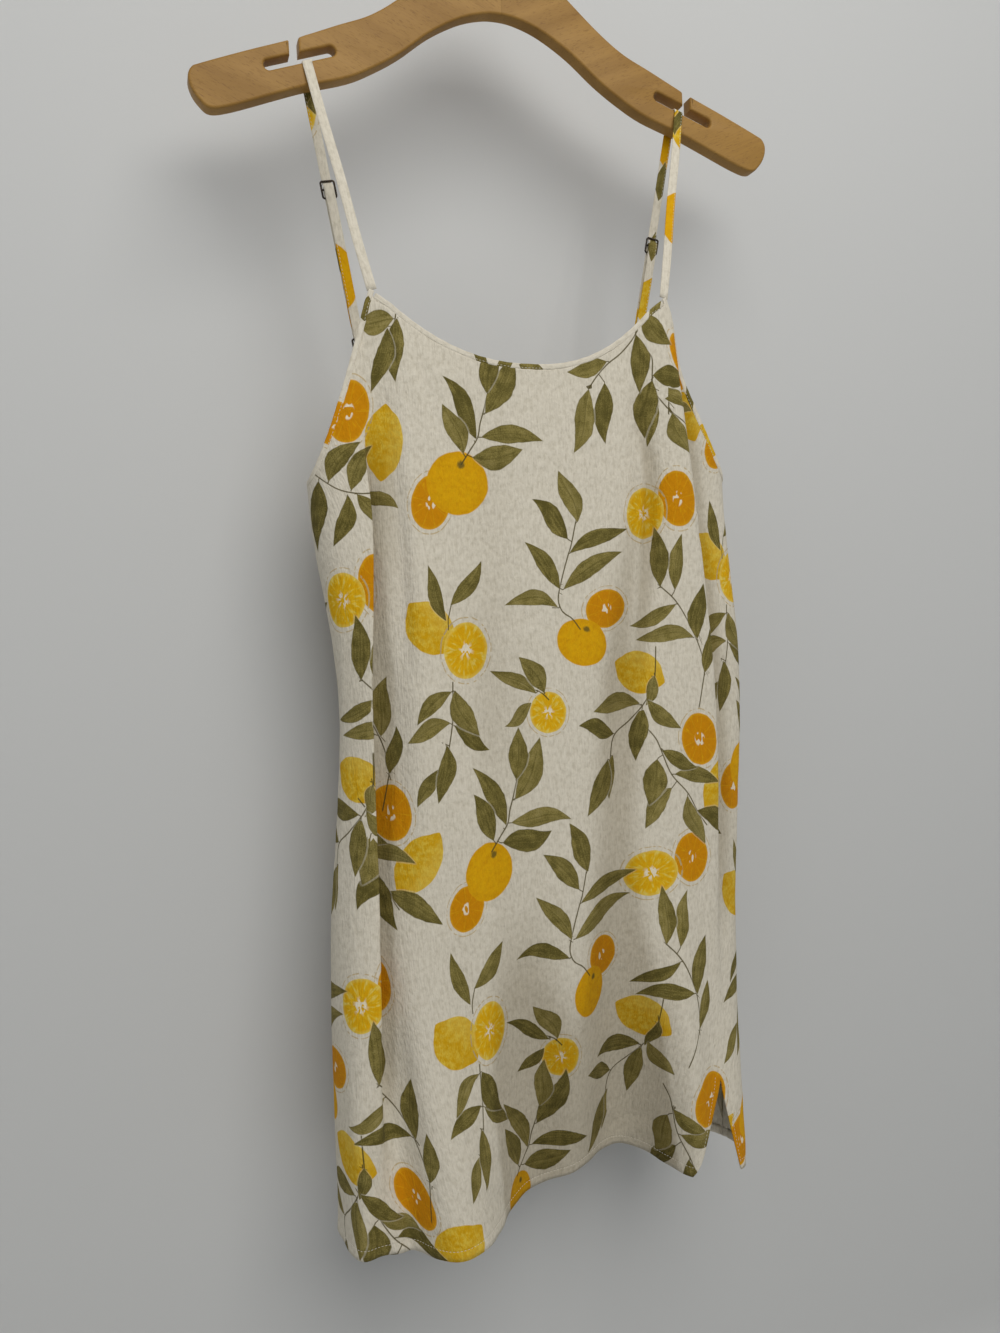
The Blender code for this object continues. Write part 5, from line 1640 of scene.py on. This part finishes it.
# sewing, by Geometry Nodes: short stitches along every seam line
sewing = {"length": 1.9 * mm, "pitch": 2.6 * mm, "thread": 0.16 * mm, "seed": 7,
          "fromHem": 7 * mm, "fromEdge": 1.0 * mm, "lift": 0.1 * mm}


def threadFinish():
    made, tree, shader = finish("cottonThread", 0.85, Sheen_Weight=0.2)
    ply = noise(objectPlace(tree), 2600.0, 2.0, 0.6)
    send(shader, Base_Color=mix(ply, (0.70, 0.65, 0.55), (0.84, 0.80, 0.71)),
         Normal=bump(ply, 0.05 * mm, 0.5))
    return made


def stitchTree(thread):
    tree = bpy.data.node_groups.new("runningStitch", "GeometryNodeTree")
    for title, kind in (("Seam", "NodeSocketGeometry"), ("Pitch", "NodeSocketFloat"),
                        ("Length", "NodeSocketFloat"), ("Thread", "NodeSocketFloat")):
        tree.interface.new_socket(title, in_out="INPUT", socket_type=kind)
    tree.interface.new_socket("Stitches", in_out="OUTPUT", socket_type="NodeSocketGeometry")
    given, result = put(tree, "NodeGroupInput").outputs, put(tree, "NodeGroupOutput")
    line = put(tree, "GeometryNodeMeshToCurve", {"Mesh": given["Seam"]}).outputs[0]
    line = put(tree, "GeometryNodeResampleCurve", {"Curve": line, "Length": given["Pitch"]},
               mode="LENGTH").outputs[0]
    bead = put(tree, "GeometryNodeMeshUVSphere", {"Segments": 6, "Rings": 4, "Radius": 1.0})
    tangent = put(tree, "GeometryNodeInputTangent").outputs[0]
    turned = put(tree, "FunctionNodeAlignRotationToVector", {"Vector": tangent}, axis="X")
    drawn = put(tree, "FunctionNodeRandomValue", {2: 0.85, 3: 1.1, "Seed": sewing["seed"]},
                data_type="FLOAT").outputs[1]
    long = put(tree, "ShaderNodeMath", {0: given["Length"], 1: 0.5}, operation="MULTIPLY")
    long = put(tree, "ShaderNodeMath", {0: long.outputs[0], 1: drawn}, operation="MULTIPLY")
    size = put(tree, "ShaderNodeCombineXYZ", {0: long.outputs[0], 1: given["Thread"],
                                              2: given["Thread"]}).outputs[0]
    copies = put(tree, "GeometryNodeInstanceOnPoints",
                 {"Points": line, "Instance": bead.outputs["Mesh"],
                  "Rotation": turned.outputs[0], "Scale": size}).outputs[0]
    solid = put(tree, "GeometryNodeRealizeInstances", {"Geometry": copies}).outputs[0]
    dyed = put(tree, "GeometryNodeSetMaterial", {"Geometry": solid, "Material": thread})
    tree.links.new(dyed.outputs[0], result.inputs[0])
    return tree


def sewLines(name, lines, tree, thread):
    verts, seams = [], []
    for line in lines:
        first = len(verts)
        verts += [tuple(map(float, p)) for p in line]
        seams += [(first + k, first + k + 1) for k in range(len(line) - 1)]
    mesh = bpy.data.meshes.new(name)
    mesh.from_pydata(verts, seams, [])
    obj = bpy.data.objects.new(name, mesh)
    bpy.context.scene.collection.objects.link(obj)
    modifier = obj.modifiers.new("stitches", "NODES")
    modifier.node_group = tree
    for socket in tree.interface.items_tree:
        if socket.in_out == "INPUT" and socket.name in ("Pitch", "Length", "Thread"):
            modifier[socket.identifier] = sewing[socket.name.lower()]
    made = bpy.data.meshes.new_from_object(obj.evaluated_get(
        bpy.context.evaluated_depsgraph_get()))
    bpy.data.objects.remove(obj)
    made.name = name
    declare(newPiece(name, made, thread), None)


def gridLevel(grid, up, columns):
    # points on a panel at a given height above its hem, and the way out there
    angles, heights, place = grid
    picked = np.arange(angles.shape[1])[columns]
    points, turns = [], []
    for column in picked:
        at = np.interp(-heights[-1, column] - up, -heights[:, column], np.arange(len(heights)))
        low = int(at)
        high, t = min(low + 1, len(heights) - 1), at - low
        points.append(place[low, column] * (1 - t) + place[high, column] * t)
        turns.append(angles[low, column] * (1 - t) + angles[high, column] * t)
    return np.array(points), outward(np.array(turns), heights[-1, picked] + up)


def gridLine(grid, up):
    points, normal = gridLevel(grid, up, slice(None))
    return points + normal * (panel["thickness"] / 2 + sewing["lift"])


def makeSewing():
    thread = threadFinish()
    tree = stitchTree(thread)
    column = panel["slitColumn"]
    hem = gridLine(frontGrid, sewing["fromHem"])
    angles, heights, place = frontGrid
    lines = [hem[:column - 3], hem[column + 5:]]
    begin = int(np.argmax(heights[:, column] < edges["slitTopZ"] + 4 * mm))
    for at in (column - 4, column + 5):
        normal = outward(angles[begin:-2, at], heights[begin:-2, at])
        lines.append(place[begin:-2, at] + normal * (panel["thickness"] / 2 + sewing["lift"]))
    sewLines("frontHemStitches", lines, tree, thread)
    sewLines("backHemStitches", [gridLine(backGrid, sewing["fromHem"])], tree, thread)
    lines = []
    for name in ("neckBinding", "backNeckBinding", "armholeBindingLeft", "armholeBindingRight"):
        outer, inner = bindings[name + "Rails"]
        middle = (outer + inner) / 2
        across = unit(outer - inner)
        normal = unit(np.cross(np.gradient(middle, axis=0), across))
        centre = np.array((0, 0.005, 0))
        facing = np.sign(((middle - centre) * normal * (1, 1, 0)).sum(axis=1, keepdims=True))
        lift = bindingLook["thick"] / 2 + 0.08 * mm
        lines.append((inner + across * 1.3 * mm + normal * facing * lift)[2:-2])
    sewLines("bindingStitches", lines, tree, thread)
    lines = []
    for word in ("Left", "Right"):
        path, widths = straps["strap" + word + "Path"]
        normal = unit(np.cross(np.gradient(path, axis=0), widths))
        for face in (-1, 1):
            lines.append(smoothLine(path + widths * (strapLook["width"] / 2 - sewing["fromEdge"])
                                    + normal * face * (strapLook["thick"] / 2), 2)[2:-2])
    sewLines("strapStitches", lines, tree, thread)


makeSewing()
print("seams are sewn")

# turned hems on the inside
hemLook = {"deep": 7 * mm, "thick": 0.7 * mm, "inside": 0.8 * mm, "columnWidth": 2.5}


def hemPiece(name, grid, columns):
    rows = []
    for up in np.linspace(hemLook["deep"], 0, 4):
        points, normal = gridLevel(grid, up, columns)
        rows.append(points - normal * hemLook["inside"])
    place = np.array(rows)
    mesh = gridMesh(name, place)
    flat = np.stack([np.tile(np.arange(place.shape[1]) * hemLook["columnWidth"], len(rows)),
                     -place.reshape(-1, 3)[:, 2] / mm], axis=1)
    keepCloth(mesh, flat, np.full(len(flat), noHem))
    stampPrint(mesh, flat, ([], [], [], []))
    return declare(solidSheet(newPiece(name, mesh, bandCotton), hemLook["thick"], 0), None)


column = panel["slitColumn"]
hems = [hemPiece("frontHemLeft", frontGrid, slice(1, column + 1)),
        hemPiece("frontHemRight", frontGrid, slice(column + 1, frontGrid[0].shape[1] - 1)),
        hemPiece("backHem", backGrid, slice(1, backGrid[0].shape[1] - 1))]

# wall, floor and light; a lamp's place, aim, size, power and colour
room = {
    "wallY": 0.085, "floorZ": -1.42, "half": 2.6, "top": 1.4, "bend": 0.12, "front": -3.2,
    "paint": (0.645, 0.648, 0.638), "skyColour": (0.93, 0.96, 1.0), "sky": 0.24,
    "lamps": {
        "ceilingPanel": ((0.12, -1.45, 0.62), (0, 0, -0.45), 1.5, 23.0, (1.0, 0.985, 0.955)),
        "sideFill": ((-1.6, -1.1, 0.3), (0, 0, -0.5), 1.2, 2.0, (0.97, 0.98, 1.0)),
    },
}


def paintFinish():
    # seen from behind, the wall lets the view through
    made, tree, shader = finish("wallPaint", 0.7)
    place = objectPlace(tree)
    roller, patches = noise(place, 260.0, 2.0, 0.5), noise(place, 2.0, 1.0, 0.5)
    worn = tuple(0.97 * v for v in room["paint"])
    send(shader, Base_Color=mix(patches, room["paint"], worn),
         Normal=bump(roller, 0.2 * mm, 0.15))
    clear = put(tree, "ShaderNodeBsdfTransparent").outputs[0]
    behind = put(tree, "ShaderNodeNewGeometry").outputs["Backfacing"]
    both = put(tree, "ShaderNodeMixShader", {0: behind, 1: shader.outputs[0], 2: clear})
    tree.links.new(both.outputs[0], tree.nodes["Material Output"].inputs["Surface"])
    return made


def makeRoom():
    wallY, floorZ, half, bend = (room[key] for key in ("wallY", "floorZ", "half", "bend"))
    profile = [(wallY, room["top"]), (wallY, 0.3), (wallY, -0.5)]
    for turn in np.radians(np.linspace(0, 90, 10)):
        profile.append((wallY - bend + bend * math.cos(turn),
                        floorZ + bend - bend * math.sin(turn)))
    profile += [(-1.0, floorZ), (room["front"], floorZ)]
    place = np.array([[(x, y, z) for x in np.linspace(-half, half, 5)] for y, z in profile])
    newPiece("paleBackdrop", gridMesh("paleBackdrop", place), paintFinish())
    world = bpy.data.worlds.new("softDaylight")
    bpy.context.scene.world = world
    world.use_nodes = True
    sky = world.node_tree.nodes["Background"]
    sky.inputs["Color"].default_value = (*room["skyColour"], 1)
    sky.inputs["Strength"].default_value = room["sky"]
    for name, (place, aim, size, power, colour) in room["lamps"].items():
        data = bpy.data.lights.new(name, "AREA")
        data.size, data.energy, data.color = size, power, colour
        lamp = bpy.data.objects.new(name, data)
        lamp.location = place
        lamp.rotation_euler = (Vector(aim) - Vector(place)).to_track_quat("-Z", "Y").to_euler()
        bpy.context.scene.collection.objects.link(lamp)
    bpy.context.scene.view_settings.view_transform = "Standard"


makeRoom()
print("room is lit")
